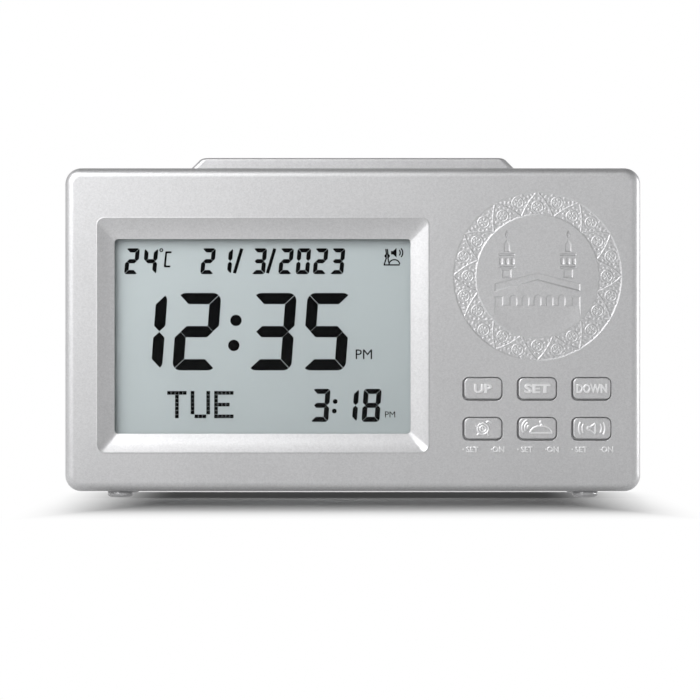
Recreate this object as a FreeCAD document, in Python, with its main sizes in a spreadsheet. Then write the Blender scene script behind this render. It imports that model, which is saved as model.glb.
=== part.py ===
"""Azan clock: a desk alarm clock in two moulded half shells.

Each piece is drawn in the case frame: x to the right, depth behind the flat front face, and height above the
underside of the case. Placements then stand the clock on its feet, with the front towards -Y, +Z up and the
origin under the middle of the whole.
"""

import FreeCAD, Part
import math
import os
import re
import Sketcher
from FreeCAD import Placement, Rotation, Vector

SIZES = {
    # the two half shells
    "case_width": 186.0,
    "case_height": 104.5,
    "case_depth": 46.0,
    "case_corner": 5.2,
    "front_round": 3.0,
    "rear_bevel": 1.5,
    "wall": 2.2,
    "front_depth": 17.0,
    "lip_depth": 1.5,
    "lip_width": 1.0,
    "lip_gap": 0.1,
    # bevelled window in the front shell
    "window_left": 15.9,
    "window_top": 22.9,
    "window_foot": 18.6,
    "window_corner": 1.2,
    "window_lip": 0.8,
    "bevel_left": 5.2,
    "bevel_right": 5.5,
    "bevel_top": 6.5,
    "bevel_bottom": 5.7,
    "bevel_depth": 2.6,
    "bevel_corner": 2.1,
    # six keys, two rows of three
    "key_width": 12.1,
    "key_height": 6.8,
    "key_corner": 0.9,
    "key_gap": 0.35,
    "key_pitch": 17.57,
    "key_row_pitch": 12.88,
    "key_side_gap": 1.7,
    "key_clear": 5.4,
    "key_up": 26.7,
    "key_proud": 0.8,
    "key_travel": 1.0,
    "flange_gap": 0.2,
    "flange_margin": 0.6,
    "flange_thickness": 1.0,
    "stem_length": 1.2,
    "stem_width": 5.2,
    "rest_gap": 0.1,
    # silicone mat and the key board behind it
    "dome_height": 3.4,
    "dome_foot": 8.4,
    "dome_top": 6.0,
    "dome_skin": 0.8,
    "pill_width": 3.4,
    "pill_thickness": 0.6,
    "mat_thickness": 1.2,
    "mat_margin": 2.53,
    "mat_clear": 0.6,
    "mat_edge": 0.8,
    "key_post_radius": 1.9,
    "key_post_rim": 1.0,
    "key_post_inset": 4.0,
    # display stack
    "lens_margin": 1.8,
    "lens_thickness": 1.5,
    "lcd_side": 2.6,
    "lcd_edge": 3.5,
    "lcd_thickness": 2.2,
    "lcd_gap": 0.6,
    "frame_wall": 3.0,
    "fit_gap": 0.1,
    "glow_thickness": 2.8,
    "board_gap": 1.0,
    "strip_width": 2.0,
    "strip_end": 3.0,
    # main board and what it carries
    "board_thickness": 1.6,
    "board_edge": 2.0,
    "board_rim": 0.6,
    "post_radius": 2.2,
    "post_clear": 0.3,
    "post_inset": 4.0,
    "pilot_radius": 0.9,
    "screw_hole": 1.1,
    "screw_thread": 0.8,
    "screw_head": 1.9,
    "screw_head_height": 1.3,
    "screw_length": 5.0,
    "chip_side": 12.0,
    "chip_height": 1.6,
    "chip_across": 12.0,
    "chip_up": 6.0,
    "memory_length": 10.2,
    "memory_width": 7.4,
    "memory_across": -22.0,
    "memory_up": 10.0,
    "crystal_radius": 1.5,
    "crystal_length": 8.0,
    "crystal_across": 2.0,
    "crystal_up": -14.0,
    "capacitor_radius": 4.0,
    "capacitor_length": 9.0,
    "capacitor_inset": 22.8,
    "capacitor_up": -16.0,
    "bead_width": 2.4,
    "bead_lift": 4.5,
    "bead_inset": 13.8,
    "bead_rise": 7.0,
    # snooze bar in the top of the rear shell
    "bar_length": 108.0,
    "bar_width": 14.0,
    "bar_back": 17.0,
    "bar_rise": 4.5,
    "bar_reveal": 0.3,
    "bar_round": 1.0,
    "bar_wall": 1.6,
    "bar_gap": 0.35,
    "bar_flange": 1.0,
    "bar_travel": 1.2,
    "bar_stem_width": 4.0,
    "dome_clear": 1.4,
    "snooze_drop": 5.7,
    "snooze_dome_height": 3.3,
    "snooze_board_width": 12.0,
    "shelf_spread": 19.0,
    "shelf_thickness": 2.5,
    "shelf_height": 7.0,
    # speaker behind the rear grille
    "speaker_inset": 45.0,
    "speaker_drop": 50.5,
    "speaker_radius": 25.0,
    "speaker_seat": 2.4,
    "basket_sheet": 1.0,
    "basket_depth": 6.0,
    "film_sheet": 0.4,
    "film_dome": 0.8,
    "film_dome_radius": 7.0,
    "film_travel": 0.5,
    "magnet_radius": 13.0,
    "magnet_thickness": 5.0,
    "plate_thickness": 1.6,
    "coil_inner": 5.3,
    "coil_wind": 0.6,
    "coil_gap": 0.3,
    "grille_radius": 20.0,
    "slot_width": 2.0,
    "slot_pitch": 4.0,
    "cup_clear": 0.2,
    "speaker_boss": 4.0,
    "speaker_post": 2.4,
    "speaker_screw_thread": 0.8,
    "speaker_screw_head": 3.2,
    "speaker_screw_head_height": 1.3,
    "speaker_screw_length": 5.0,
    # battery bay, three AA cells
    "bay_inset": 49.0,
    "bay_up": 22.0,
    "bay_wall": 1.6,
    "cell_radius": 7.25,
    "cell_length": 50.5,
    "spring_room": 4.0,
    "cell_gap": 0.2,
    "cell_slack": 0.5,
    "nub_radius": 2.75,
    "nub_length": 1.5,
    "contact_sheet": 0.4,
    "contact_width": 9.0,
    "door_ledge": 2.0,
    "door_head": 9.0,
    "door_gap": 0.25,
    "door_corner": 2.0,
    "tab_width": 8.0,
    "tab_spread": 36.0,
    "tab_hook": 2.4,
    "latch_width": 12.4,
    "latch_reach": 4.6,
    "latch_drop": 7.0,
    "latch_sheet": 1.2,
    "latch_nose": 0.9,
    "grip_inset": 4.0,
    "grip_pitch": 2.4,
    "grip_width": 1.2,
    # screws that close the case
    "boss_inset": 5.8,
    "boss_radius": 3.8,
    "case_screw_thread": 1.2,
    "case_screw_pilot": 1.3,
    "case_screw_hole": 1.6,
    "case_screw_head": 2.5,
    "case_screw_head_height": 2.2,
    "case_screw_length": 15.5,
    "case_screw_well": 2.8,
    "case_screw_seat": 8.0,
    # feet
    "foot_radius": 4.15,
    "foot_height": 2.0,
    "foot_inset": 17.5,
    "foot_front": 8.0,
    "foot_back": 7.5,
    # leads inside the case
    "ribbon_width": 11.0,
    "ribbon_sheet": 0.5,
    "lead_width": 2.4,
    "lead_sheet": 1.2,
    "lead_rise": 4.0,
    "speaker_lead_inset": 13.0,
    "battery_lead_up": 12.0,
    "battery_lead_reach": 9.0,
    "snooze_lead_drop": 6.0,
}

NEAR = 0.01

# sides of the many-sided outlines that stand for small round forms
SHANK_SIDES = 6
POST_SIDES = 8
CAN_SIDES = 12
RING_SIDES = 16

CELL_COUNT = 3
GRIP_COUNT = 4
BEND_SHARE = 0.45

# depths behind the front face
SPLIT = "(front_depth - lip_depth - lip_gap)"
LENS = "(bevel_depth + window_lip)"
LCD = f"({LENS} + lens_thickness + lcd_gap)"
GLOW = f"({LCD} + lcd_thickness)"
BOARD = f"({GLOW} + glow_thickness + board_gap)"
BOARD_BACK = f"({BOARD} + board_thickness)"
FLANGE = "(wall + flange_gap)"
KEY_BOARD = f"({FLANGE} + flange_thickness + stem_length + dome_height)"
REAR_WALL = "(case_depth - wall)"
SPEAKER = f"({REAR_WALL} - speaker_seat - film_sheet)"
CUP_BACK = f"({SPEAKER} - basket_depth)"
YOKE = f"({CUP_BACK} - magnet_thickness)"
CELL_SPACE = "(2 * cell_radius + fit_gap + cell_slack)"
BAY_FLOOR = f"({REAR_WALL} - {CELL_SPACE})"
BAR_DEPTH = "(case_depth - bar_back)"
FOOT_REAR = "(case_depth - foot_back)"
SCREW_SEAT = "(front_depth + case_screw_seat)"
SCREW_TIP = f"({SCREW_SEAT} - case_screw_length)"

# the key field: the mat round its domes, the posts beside it, and the board's edge beside the case wall
MAT_WIDTH = "(2 * key_pitch + dome_foot + 2 * mat_margin)"
MAT_HEIGHT = "(key_row_pitch + dome_foot + 2 * mat_margin)"
KEY_POST_SPREAD = f"({MAT_WIDTH} + 2 * key_post_radius + 2 * mat_clear)"
KEY_BOARD_WIDTH = f"({KEY_POST_SPREAD} + 2 * key_post_radius + 2 * key_post_rim)"
KEY_BOARD_HEIGHT = f"({MAT_HEIGHT} + 2 * mat_edge)"
KEY_POST_RISE = f"({KEY_BOARD_HEIGHT} - 2 * key_post_inset)"
KEY_ACROSS = f"(case_width / 2 - wall - key_side_gap - {KEY_BOARD_WIDTH} / 2)"

# the window takes the room that the key field leaves, and the display stack is built round it
WINDOW_RIGHT = f"(wall + key_side_gap + {KEY_BOARD_WIDTH} + key_clear + frame_wall + lcd_side)"
WINDOW_WIDTH = f"(case_width - window_left - {WINDOW_RIGHT})"
WINDOW_ACROSS = f"((window_left - {WINDOW_RIGHT}) / 2)"
WINDOW_HEIGHT = "(case_height - window_top - window_foot)"
WINDOW_UP = f"(window_foot + {WINDOW_HEIGHT} / 2)"
LCD_WIDTH = f"({WINDOW_WIDTH} + 2 * lcd_side)"
LCD_HEIGHT = f"({WINDOW_HEIGHT} + 2 * lcd_edge)"
POST_SPREAD = f"({LCD_WIDTH} + 2 * (frame_wall + post_clear + post_radius))"
BOARD_WIDTH = f"({POST_SPREAD} + 2 * (post_radius + board_rim))"
BOARD_HEIGHT = f"({LCD_HEIGHT} + 2 * board_edge)"
POST_RISE = f"({BOARD_HEIGHT} - 2 * post_inset)"
CAPACITOR_ACROSS = f"({BOARD_WIDTH} / 2 - capacitor_inset)"
BEAD_ACROSS = f"(bead_inset - {BOARD_WIDTH} / 2)"
BEAD_UP = f"(bead_rise - {BOARD_HEIGHT} / 2)"

# snooze board, speaker and battery bay
STEM_SPREAD = "(shelf_spread + dome_foot + 2 * screw_head + 2 * dome_clear)"
SNOOZE_BOARD_LENGTH = f"({STEM_SPREAD} + dome_foot + 2 * mat_edge)"
SPEAKER_ACROSS = "(case_width / 2 - speaker_inset)"
SPEAKER_UP = "(case_height - speaker_drop)"
SPEAKER_SCREW_CIRCLE = "(speaker_radius + speaker_post + cup_clear)"
POLE_RADIUS = "(coil_inner - coil_gap)"
COIL_OUTER = "(coil_inner + coil_wind)"
BAY_ACROSS = "(bay_inset - case_width / 2)"
BAY_LENGTH = "(cell_length + spring_room)"
CELL_PITCH = "(2 * cell_radius + 2 * cell_gap)"

# heights above the underside
BAR_UNDER = "(case_height - wall - flange_gap - bar_flange)"
SNOOZE_TOP = "(case_height - wall - snooze_drop)"
SHELF_TOP = f"({SNOOZE_TOP} - board_thickness)"
BAY_HEIGHT = f"({CELL_COUNT} * {CELL_PITCH} + cell_gap * 2)"
DOOR_FOOT = "(bay_up - door_ledge)"
DOOR_HEIGHT = f"({BAY_HEIGHT} + door_ledge + door_head)"
DOOR_TOP = f"({DOOR_FOOT} + {DOOR_HEIGHT})"
RIM = f"({DOOR_FOOT} - door_gap)"

KEYS = (
    ("up", -1, 0.5),
    ("set", 0, 0.5),
    ("down", 1, 0.5),
    ("alarm", -1, -0.5),
    ("azan", 0, -0.5),
    ("sound", 1, -0.5),
)
SIDES = (-1, 1)

doc = FreeCAD.newDocument("AzanClock")
sheet = doc.addObject("Spreadsheet::Sheet", "Sizes")
for row, (alias, size) in enumerate(SIZES.items(), start=1):
    sheet.set(f"A{row}", str(size))
    sheet.setAlias(f"A{row}", alias)
doc.recompute()

nodes = []


def bound(formula):
    """A formula with each size's name written as that size's cell."""
    return re.sub(r"[a-z_]+", lambda word: "Sizes." + word[0] if word[0] in SIZES else word[0], formula)


def worth(formula):
    """The number that a formula gives."""
    return float(sheet.evalExpression(bound(formula)))


def bind(item, prop, formula):
    item.setExpression(prop, bound(formula))


def place(item, across="0", depth="0", height="0", turn=None):
    """Puts a piece's own origin at a point of the case frame."""
    if turn:
        item.Placement = Placement(Vector(0, 0, 0), turn)
    bind(item, "Placement.Base.x", across)
    bind(item, "Placement.Base.y", f"{depth} + (key_proud - case_depth) / 2")
    bind(item, "Placement.Base.z", f"{height} + foot_height")


def new_body(label, **where):
    """An empty body that becomes one node; several apart solids may share it."""
    body = doc.addObject("PartDesign::Body", label)
    body.AllowCompound = True
    place(body, **where)
    nodes.append(body)
    return body


def sketch_on(body, plane, name, offset="0"):
    """A sketch on one of the body's own planes, moved along that plane's normal."""
    sketch = body.newObject("Sketcher::SketchObject", name)
    base = next(item for item in body.Origin.OriginFeatures if item.Role == plane)
    sketch.AttachmentSupport = [(base, "")]
    sketch.MapMode = "FlatFace"
    bind(sketch, "AttachmentOffset.Base.z", offset)
    return sketch


def at_depth(body, name, depth):
    """A sketch that faces the user, at a depth behind the front face."""
    return sketch_on(body, "XZ_Plane", name, f"-({depth})")


def measure(sketch, kind, *where, formula):
    """A driving dimension, bound to its formula."""
    index = sketch.addConstraint(Sketcher.Constraint(kind, *where, worth(formula)))
    bind(sketch, f"Constraints[{index}]", formula)


def pin(sketch, line, point, across, up):
    """Fixes a point of a line or arc at two measures from the sketch's origin."""
    for axis, kind, formula in ((-2, "DistanceX", across), (-1, "DistanceY", up)):
        if abs(worth(formula)) < NEAR:
            sketch.addConstraint(Sketcher.Constraint("PointOnObject", line, point, axis))
        else:
            measure(sketch, kind, -1, 1, line, point, formula=formula)


def circle(sketch, across, up, radius):
    ring = Part.Circle(Vector(worth(across), worth(up), 0), Vector(0, 0, 1), worth(radius))
    index = sketch.addGeometry(ring)
    pin(sketch, index, 3, across, up)
    measure(sketch, "Radius", index, formula=radius)


def polygon(sketch, corners):
    """A closed outline of straight sides through corners given as pairs of formulas."""
    points = [Vector(worth(across), worth(up), 0) for across, up in corners]
    sides = [sketch.addGeometry(Part.LineSegment(a, b)) for a, b in zip(points, points[1:] + points[:1])]
    for side, before, (across, up) in zip(sides, sides[-1:] + sides[:-1], corners):
        sketch.addConstraint(Sketcher.Constraint("Coincident", before, 2, side, 1))
        pin(sketch, side, 1, across, up)


def rectangle(sketch, across, up, width, height):
    corners = ((-1, -1), (1, -1), (1, 1), (-1, 1))
    polygon(sketch, [(f"{across} + {i} * ({width}) / 2", f"{up} + {j} * ({height}) / 2") for i, j in corners])


def prism(sketch, across, up, reach, sides):
    """A regular outline with flats at the given distance, for small hidden posts, screws and their holes."""
    half = math.pi / sides
    corners = []
    for k in range(sides):
        angle = (2 * k + 1) * half
        x, y = math.cos(angle) / math.cos(half), math.sin(angle) / math.cos(half)
        corners.append((f"{across} + {x:.6f} * ({reach})", f"{up} + {y:.6f} * ({reach})"))
    polygon(sketch, corners)


def clipped(sketch, across, up, width, height, corner):
    """A rectangle with its four corners cut off at 45 degrees."""
    corners = []
    for i, j in ((-1, -1), (1, -1), (1, 1), (-1, 1)):
        along = (f"{across} + {i} * (({width}) / 2 - ({corner}))", f"{up} + {j} * ({height}) / 2")
        beside = (f"{across} + {i} * ({width}) / 2", f"{up} + {j} * (({height}) / 2 - ({corner}))")
        corners += [beside, along] if i == j else [along, beside]
    polygon(sketch, corners)


def rounded(sketch, across, up, width, height, radius):
    """A rectangle with four equal round corners."""
    centres = [
        (f"{across} + {i} * (({width}) / 2 - ({radius}))", f"{up} + {j} * (({height}) / 2 - ({radius}))")
        for i, j in ((1, -1), (1, 1), (-1, 1), (-1, -1))
    ]
    bend = worth(radius)
    arcs = []
    for quarter, (x, y) in enumerate(centres):
        start = (quarter - 1) * math.pi / 2
        whole = Part.Circle(Vector(worth(x), worth(y), 0), Vector(0, 0, 1), bend)
        arcs.append(Part.ArcOfCircle(whole, start, start + math.pi / 2))
    lines = [Part.LineSegment(a.EndPoint, b.StartPoint) for a, b in zip(arcs, arcs[1:] + arcs[:1])]
    bends = [sketch.addGeometry(arc) for arc in arcs]
    sides = [sketch.addGeometry(line) for line in lines]
    for k in range(4):
        sketch.addConstraint(Sketcher.Constraint("Tangent", bends[k], 2, sides[k], 1))
        sketch.addConstraint(Sketcher.Constraint("Tangent", sides[k], 2, bends[(k + 1) % 4], 1))
        sketch.addConstraint(Sketcher.Constraint("Horizontal" if k % 2 else "Vertical", sides[k]))
    for k in (1, 2, 3):
        sketch.addConstraint(Sketcher.Constraint("Equal", bends[0], bends[k]))
    pin(sketch, bends[0], 3, *centres[0])
    pin(sketch, bends[2], 3, *centres[2])
    measure(sketch, "Radius", bends[0], formula=radius)


def pad(body, sketch, length, back=True):
    """Adds material behind the sketch, or before it with back=False; on a level sketch, below or above."""
    feature = body.newObject("PartDesign::Pad", "Pad")
    feature.Profile = sketch
    feature.Reversed = back
    bind(feature, "Length", length)
    return feature


def pocket(body, sketch, length, back=True):
    """Cuts behind the sketch, or in front of it with back=False; on a level sketch, below or above."""
    feature = body.newObject("PartDesign::Pocket", "Pocket")
    feature.Profile = sketch
    feature.Reversed = not back
    bind(feature, "Length", length)
    return feature


def fillet(body, base, chosen, radius):
    """Rounds the edges of the base feature whose box passes the test."""
    doc.recompute()
    names = [f"Edge{n}" for n, edge in enumerate(base.Shape.Edges, start=1) if chosen(edge.BoundBox)]
    feature = body.newObject("PartDesign::Fillet", "Round")
    feature.Base = (base, names)
    bind(feature, "Radius", radius)
    return feature


def chamfer(body, base, chosen, size):
    """Bevels the edges of the base feature whose box passes the test."""
    doc.recompute()
    names = [f"Edge{n}" for n, edge in enumerate(base.Shape.Edges, start=1) if chosen(edge.BoundBox)]
    feature = body.newObject("PartDesign::Chamfer", "Bevel")
    feature.Base = (base, names)
    bind(feature, "Size", size)
    return feature


def revolve(body, profile):
    """Turns an outline of (radius, along) corners about the body's own z axis."""
    sketch = sketch_on(body, "XZ_Plane", "Profile")
    polygon(sketch, profile)
    feature = body.newObject("PartDesign::Revolution", "Turn")
    feature.Profile = sketch
    feature.ReferenceAxis = (sketch, ["V_Axis"])
    feature.Angle = 360
    return feature


def turned(label, across, height, profile):
    """A round piece on an axis that runs from front to back; its outline is (radius, depth) corners."""
    body = new_body(label, across=across, height=height, turn=Rotation(Vector(1, 0, 0), -90))
    revolve(body, profile)
    return body


# ---- places that several pieces share

CASE_SCREWS = [
    (f"{i} * (case_width / 2 - boss_inset)", height)
    for i in SIDES
    for height in ("boss_inset", "case_height - boss_inset")
]
POSTS = [
    (f"{WINDOW_ACROSS} + {i} * {POST_SPREAD} / 2", f"{WINDOW_UP} + {j} * {POST_RISE} / 2")
    for i in SIDES
    for j in SIDES
]
KEY_POSTS = [
    (f"{KEY_ACROSS} + {i} * {KEY_POST_SPREAD} / 2", f"key_up + {j} * {KEY_POST_RISE} / 2")
    for i in SIDES
    for j in SIDES
]
KEY_PLACES = {
    name: (f"{KEY_ACROSS} + {i} * key_pitch", f"key_up + {j} * key_row_pitch") for name, i, j in KEYS
}
SPEAKER_SCREWS = [
    (
        f"{SPEAKER_ACROSS} + {SPEAKER_SCREW_CIRCLE} * {math.cos(math.radians(angle)):.6f}",
        f"{SPEAKER_UP} + {SPEAKER_SCREW_CIRCLE} * {math.sin(math.radians(angle)):.6f}",
    )
    for angle in (90, 210, 330)
]


def front_case():
    """Front half shell: bevelled window, key holes, posts and screw bosses."""
    body = new_body("front_case")
    middle = "case_height / 2"

    outline = at_depth(body, "Outline", "0")
    rounded(outline, "0", middle, "case_width", "case_height", "case_corner")
    block = pad(body, outline, "front_depth")
    fillet(body, block, lambda box: box.YMax < NEAR, "front_round")

    hollow = at_depth(body, "Hollow", "wall")
    rounded(hollow, "0", middle, "case_width - 2 * wall", "case_height - 2 * wall", "case_corner - wall")
    pocket(body, hollow, "front_depth - wall")

    rebate = at_depth(body, "LipRebate", SPLIT)
    room = "(lip_width + lip_gap)"
    rounded(
        rebate,
        "0",
        middle,
        f"case_width - 2 * wall + 2 * {room}",
        f"case_height - 2 * wall + 2 * {room}",
        f"case_corner - wall + {room}",
    )
    pocket(body, rebate, "lip_depth + lip_gap")

    surround = at_depth(body, "WindowSurround", "wall")
    frame_size = (f"{LCD_WIDTH} + 2 * frame_wall", f"{LCD_HEIGHT} + 2 * frame_wall")
    rounded(surround, WINDOW_ACROSS, WINDOW_UP, *frame_size, "bevel_corner")
    pad(body, surround, f"{LENS} - wall")

    bosses = at_depth(body, "ScrewBosses", "wall / 2")
    pilots = at_depth(body, "ScrewPilots", SPLIT)
    for across, up in CASE_SCREWS:
        prism(bosses, across, up, "boss_radius", POST_SIDES)
        prism(pilots, across, up, "case_screw_pilot", SHANK_SIDES)
    pad(body, bosses, f"{SPLIT} - wall / 2")
    pocket(body, pilots, f"{SPLIT} - {SCREW_TIP} + fit_gap * 5", back=False)

    for name, places, radius, top in (
        ("BoardPosts", POSTS, "post_radius", BOARD),
        ("KeyPosts", KEY_POSTS, "key_post_radius", KEY_BOARD),
    ):
        posts = at_depth(body, name, "wall / 2")
        holes = at_depth(body, name + "Pilots", top)
        for across, up in places:
            prism(posts, across, up, radius, POST_SIDES)
            prism(holes, across, up, "pilot_radius", SHANK_SIDES)
        pad(body, posts, f"{top} - wall / 2")
        pocket(body, holes, "screw_length - board_thickness + fit_gap * 5", back=False)

    rib = at_depth(body, "MatRib", "wall / 2")
    rectangle(rib, KEY_ACROSS, "key_up", f"{MAT_WIDTH} - 2 * mat_thickness", "mat_thickness")
    pad(body, rib, f"{KEY_BOARD} - mat_thickness - rest_gap - wall / 2")

    bevel_mouth = at_depth(body, "BevelMouth", "0")
    rounded(
        bevel_mouth,
        f"{WINDOW_ACROSS} + (bevel_right - bevel_left) / 2",
        f"{WINDOW_UP} + (bevel_top - bevel_bottom) / 2",
        f"{WINDOW_WIDTH} + bevel_left + bevel_right",
        f"{WINDOW_HEIGHT} + bevel_top + bevel_bottom",
        "bevel_corner",
    )
    bevel_floor = at_depth(body, "BevelFloor", "bevel_depth")
    rounded(bevel_floor, WINDOW_ACROSS, WINDOW_UP, WINDOW_WIDTH, WINDOW_HEIGHT, "window_corner")
    bevel = body.newObject("PartDesign::SubtractiveLoft", "Bevel")
    bevel.Profile = bevel_mouth
    bevel.Sections = [bevel_floor]
    window = at_depth(body, "Window", "bevel_depth / 2")
    rounded(window, WINDOW_ACROSS, WINDOW_UP, WINDOW_WIDTH, WINDOW_HEIGHT, "window_corner")
    pocket(body, window, f"{LENS} - bevel_depth / 2")

    holes = at_depth(body, "KeyHoles", "0")
    for across, up in KEY_PLACES.values():
        size = ("key_width + 2 * key_gap", "key_height + 2 * key_gap", "key_corner + key_gap / 2")
        clipped(holes, across, up, *size)
    pocket(body, holes, "wall")


def rear_case():
    """Rear half shell: lip, screw columns, battery bay, speaker seat, grille and the snooze bar's slot."""
    body = new_body("rear_case")
    middle = "case_height / 2"

    outline = at_depth(body, "Outline", "front_depth")
    rounded(outline, "0", middle, "case_width", "case_height", "case_corner")
    block = pad(body, outline, "case_depth - front_depth")
    rear = worth("case_depth") - NEAR
    chamfer(body, block, lambda box: box.YMin > rear, "rear_bevel")

    inner = ("case_width - 2 * wall", "case_height - 2 * wall", "case_corner - wall")
    hollow = at_depth(body, "Hollow", "front_depth")
    rounded(hollow, "0", middle, *inner)
    pocket(body, hollow, f"{REAR_WALL} - front_depth")

    lip = at_depth(body, "Lip", "front_depth - lip_depth")
    rounded(
        lip,
        "0",
        middle,
        "case_width - 2 * wall + 2 * lip_width",
        "case_height - 2 * wall + 2 * lip_width",
        "case_corner - wall + lip_width",
    )
    rounded(lip, "0", middle, *inner)
    pad(body, lip, "lip_depth")

    columns = at_depth(body, "ScrewColumns", SPLIT)
    for across, up in CASE_SCREWS:
        prism(columns, across, up, "boss_radius", POST_SIDES)
    pad(body, columns, f"{REAR_WALL} + wall / 2 - {SPLIT}")

    backing = at_depth(body, "DoorBacking", f"{REAR_WALL} - bay_wall")
    door_up = f"{DOOR_FOOT} + {DOOR_HEIGHT} / 2"
    margin = "2 * (door_gap + bay_wall)"
    door_size = (f"{BAY_LENGTH} + 2 * door_ledge", DOOR_HEIGHT)
    rectangle(backing, BAY_ACROSS, door_up, f"{door_size[0]} + {margin}", f"{DOOR_HEIGHT} + {margin}")
    pad(body, backing, "bay_wall + wall / 2")
    bay_up = f"bay_up + {BAY_HEIGHT} / 2"
    bay_box = at_depth(body, "BayBox", f"{BAY_FLOOR} - bay_wall")
    rectangle(bay_box, BAY_ACROSS, bay_up, f"{BAY_LENGTH} + 2 * bay_wall", f"{BAY_HEIGHT} + 2 * bay_wall")
    pad(body, bay_box, f"{CELL_SPACE} + bay_wall")
    well_box = at_depth(body, "LatchBox", f"{REAR_WALL} - latch_reach - bay_wall * 2")
    well_foot = f"({DOOR_TOP} - latch_drop - door_gap * 4)"
    well_top = f"({DOOR_TOP} + latch_nose + door_gap * 2)"
    well = ("latch_width + door_gap * 4", f"{well_top} - {well_foot}")
    well_up = f"({well_top} + {well_foot}) / 2"
    rectangle(well_box, BAY_ACROSS, well_up, f"{well[0]} + 2 * bay_wall", f"{well[1]} + 2 * bay_wall")
    pad(body, well_box, "latch_reach + bay_wall * 2")

    door_seat = at_depth(body, "DoorSeat", REAR_WALL)
    opening = (f"{door_size[0]} + 2 * door_gap", f"{DOOR_HEIGHT} + 2 * door_gap", "door_corner + door_gap")
    rounded(door_seat, BAY_ACROSS, door_up, *opening)
    pocket(body, door_seat, "wall")
    bay = at_depth(body, "Bay", BAY_FLOOR)
    rectangle(bay, BAY_ACROSS, bay_up, BAY_LENGTH, BAY_HEIGHT)
    pocket(body, bay, CELL_SPACE)
    latch_well = at_depth(body, "LatchWell", f"{REAR_WALL} - latch_reach - bay_wall")
    rectangle(latch_well, BAY_ACROSS, well_up, *well)
    pocket(body, latch_well, "latch_reach")
    mouth = at_depth(body, "LatchMouth", f"{REAR_WALL} - bay_wall - fit_gap")
    mouth_top = f"({DOOR_TOP} + door_gap)"
    rectangle(mouth, BAY_ACROSS, f"({mouth_top} + {well_foot}) / 2", well[0], f"{mouth_top} - {well_foot}")
    pocket(body, mouth, "bay_wall + fit_gap")
    notches = at_depth(body, "TabNotches", f"{REAR_WALL} - 2 * tab_hook")
    for i in SIDES:
        rectangle(
            notches,
            f"{BAY_ACROSS} + {i} * tab_spread / 2",
            f"{RIM} + (door_ledge - tab_hook) / 2",
            "tab_width + 4 * door_gap",
            "door_ledge + tab_hook + 4 * door_gap",
        )
    pocket(body, notches, "2 * tab_hook")

    seats = at_depth(body, "SpeakerSeats", f"{REAR_WALL} - speaker_seat")
    posts = at_depth(body, "SpeakerPosts", CUP_BACK)
    pilots = at_depth(body, "SpeakerPilots", CUP_BACK)
    for across, up in SPEAKER_SCREWS:
        prism(seats, across, up, "speaker_boss", POST_SIDES)
        prism(posts, across, up, "speaker_post", POST_SIDES)
        prism(pilots, across, up, "pilot_radius", SHANK_SIDES)
    pad(body, seats, "speaker_seat + wall / 2")
    pad(body, posts, f"{REAR_WALL} + wall / 2 - {CUP_BACK}")
    pocket(body, pilots, "speaker_screw_length + fit_gap * 5")

    slots = at_depth(body, "Grille", REAR_WALL)
    count = int(worth("(grille_radius - slot_width) / slot_pitch"))
    for k in range(-count, count + 1):
        rise = f"{k} * slot_pitch"
        length = f"2 * sqrt(grille_radius ^ 2 - ({rise}) ^ 2)"
        rectangle(slots, SPEAKER_ACROSS, f"{SPEAKER_UP} + {rise}", length, "slot_width")
    pocket(body, slots, "wall")

    wells = at_depth(body, "ScrewWells", SCREW_SEAT)
    holes = at_depth(body, "ScrewHoles", SPLIT)
    for across, up in CASE_SCREWS:
        circle(wells, across, up, "case_screw_well")
        prism(holes, across, up, "case_screw_hole", SHANK_SIDES)
    pocket(body, wells, f"case_depth - {SCREW_SEAT}")
    pocket(body, holes, f"{SCREW_SEAT} - {SPLIT}")

    slot = sketch_on(body, "XY_Plane", "BarSlot", "case_height")
    rectangle(slot, "0", BAR_DEPTH, "bar_length + 2 * bar_gap", "bar_width + 2 * bar_gap")
    pocket(body, slot, "wall")
    shelves = sketch_on(body, "XY_Plane", "Shelves", SHELF_TOP)
    front = f"({BAR_DEPTH} - snooze_board_width / 2 - wall)"
    for i in SIDES:
        rectangle(
            shelves,
            f"{i} * shelf_spread / 2",
            f"({REAR_WALL} + wall / 2 + {front}) / 2",
            "shelf_thickness",
            f"{REAR_WALL} + wall / 2 - {front}",
        )
    pad(body, shelves, "shelf_height")
    shelf_pilots = sketch_on(body, "XY_Plane", "ShelfPilots", SHELF_TOP)
    for i in SIDES:
        prism(shelf_pilots, f"{i} * shelf_spread / 2", BAR_DEPTH, "pilot_radius", SHANK_SIDES)
    pocket(body, shelf_pilots, "screw_length - board_thickness + fit_gap * 5")


def plate(label, depth, thickness, width, height):
    """A flat piece of the display stack, centred behind the window."""
    body = new_body(label)
    sketch = at_depth(body, "Outline", depth)
    rectangle(sketch, WINDOW_ACROSS, WINDOW_UP, width, height)
    pad(body, sketch, thickness)
    return body


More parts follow.
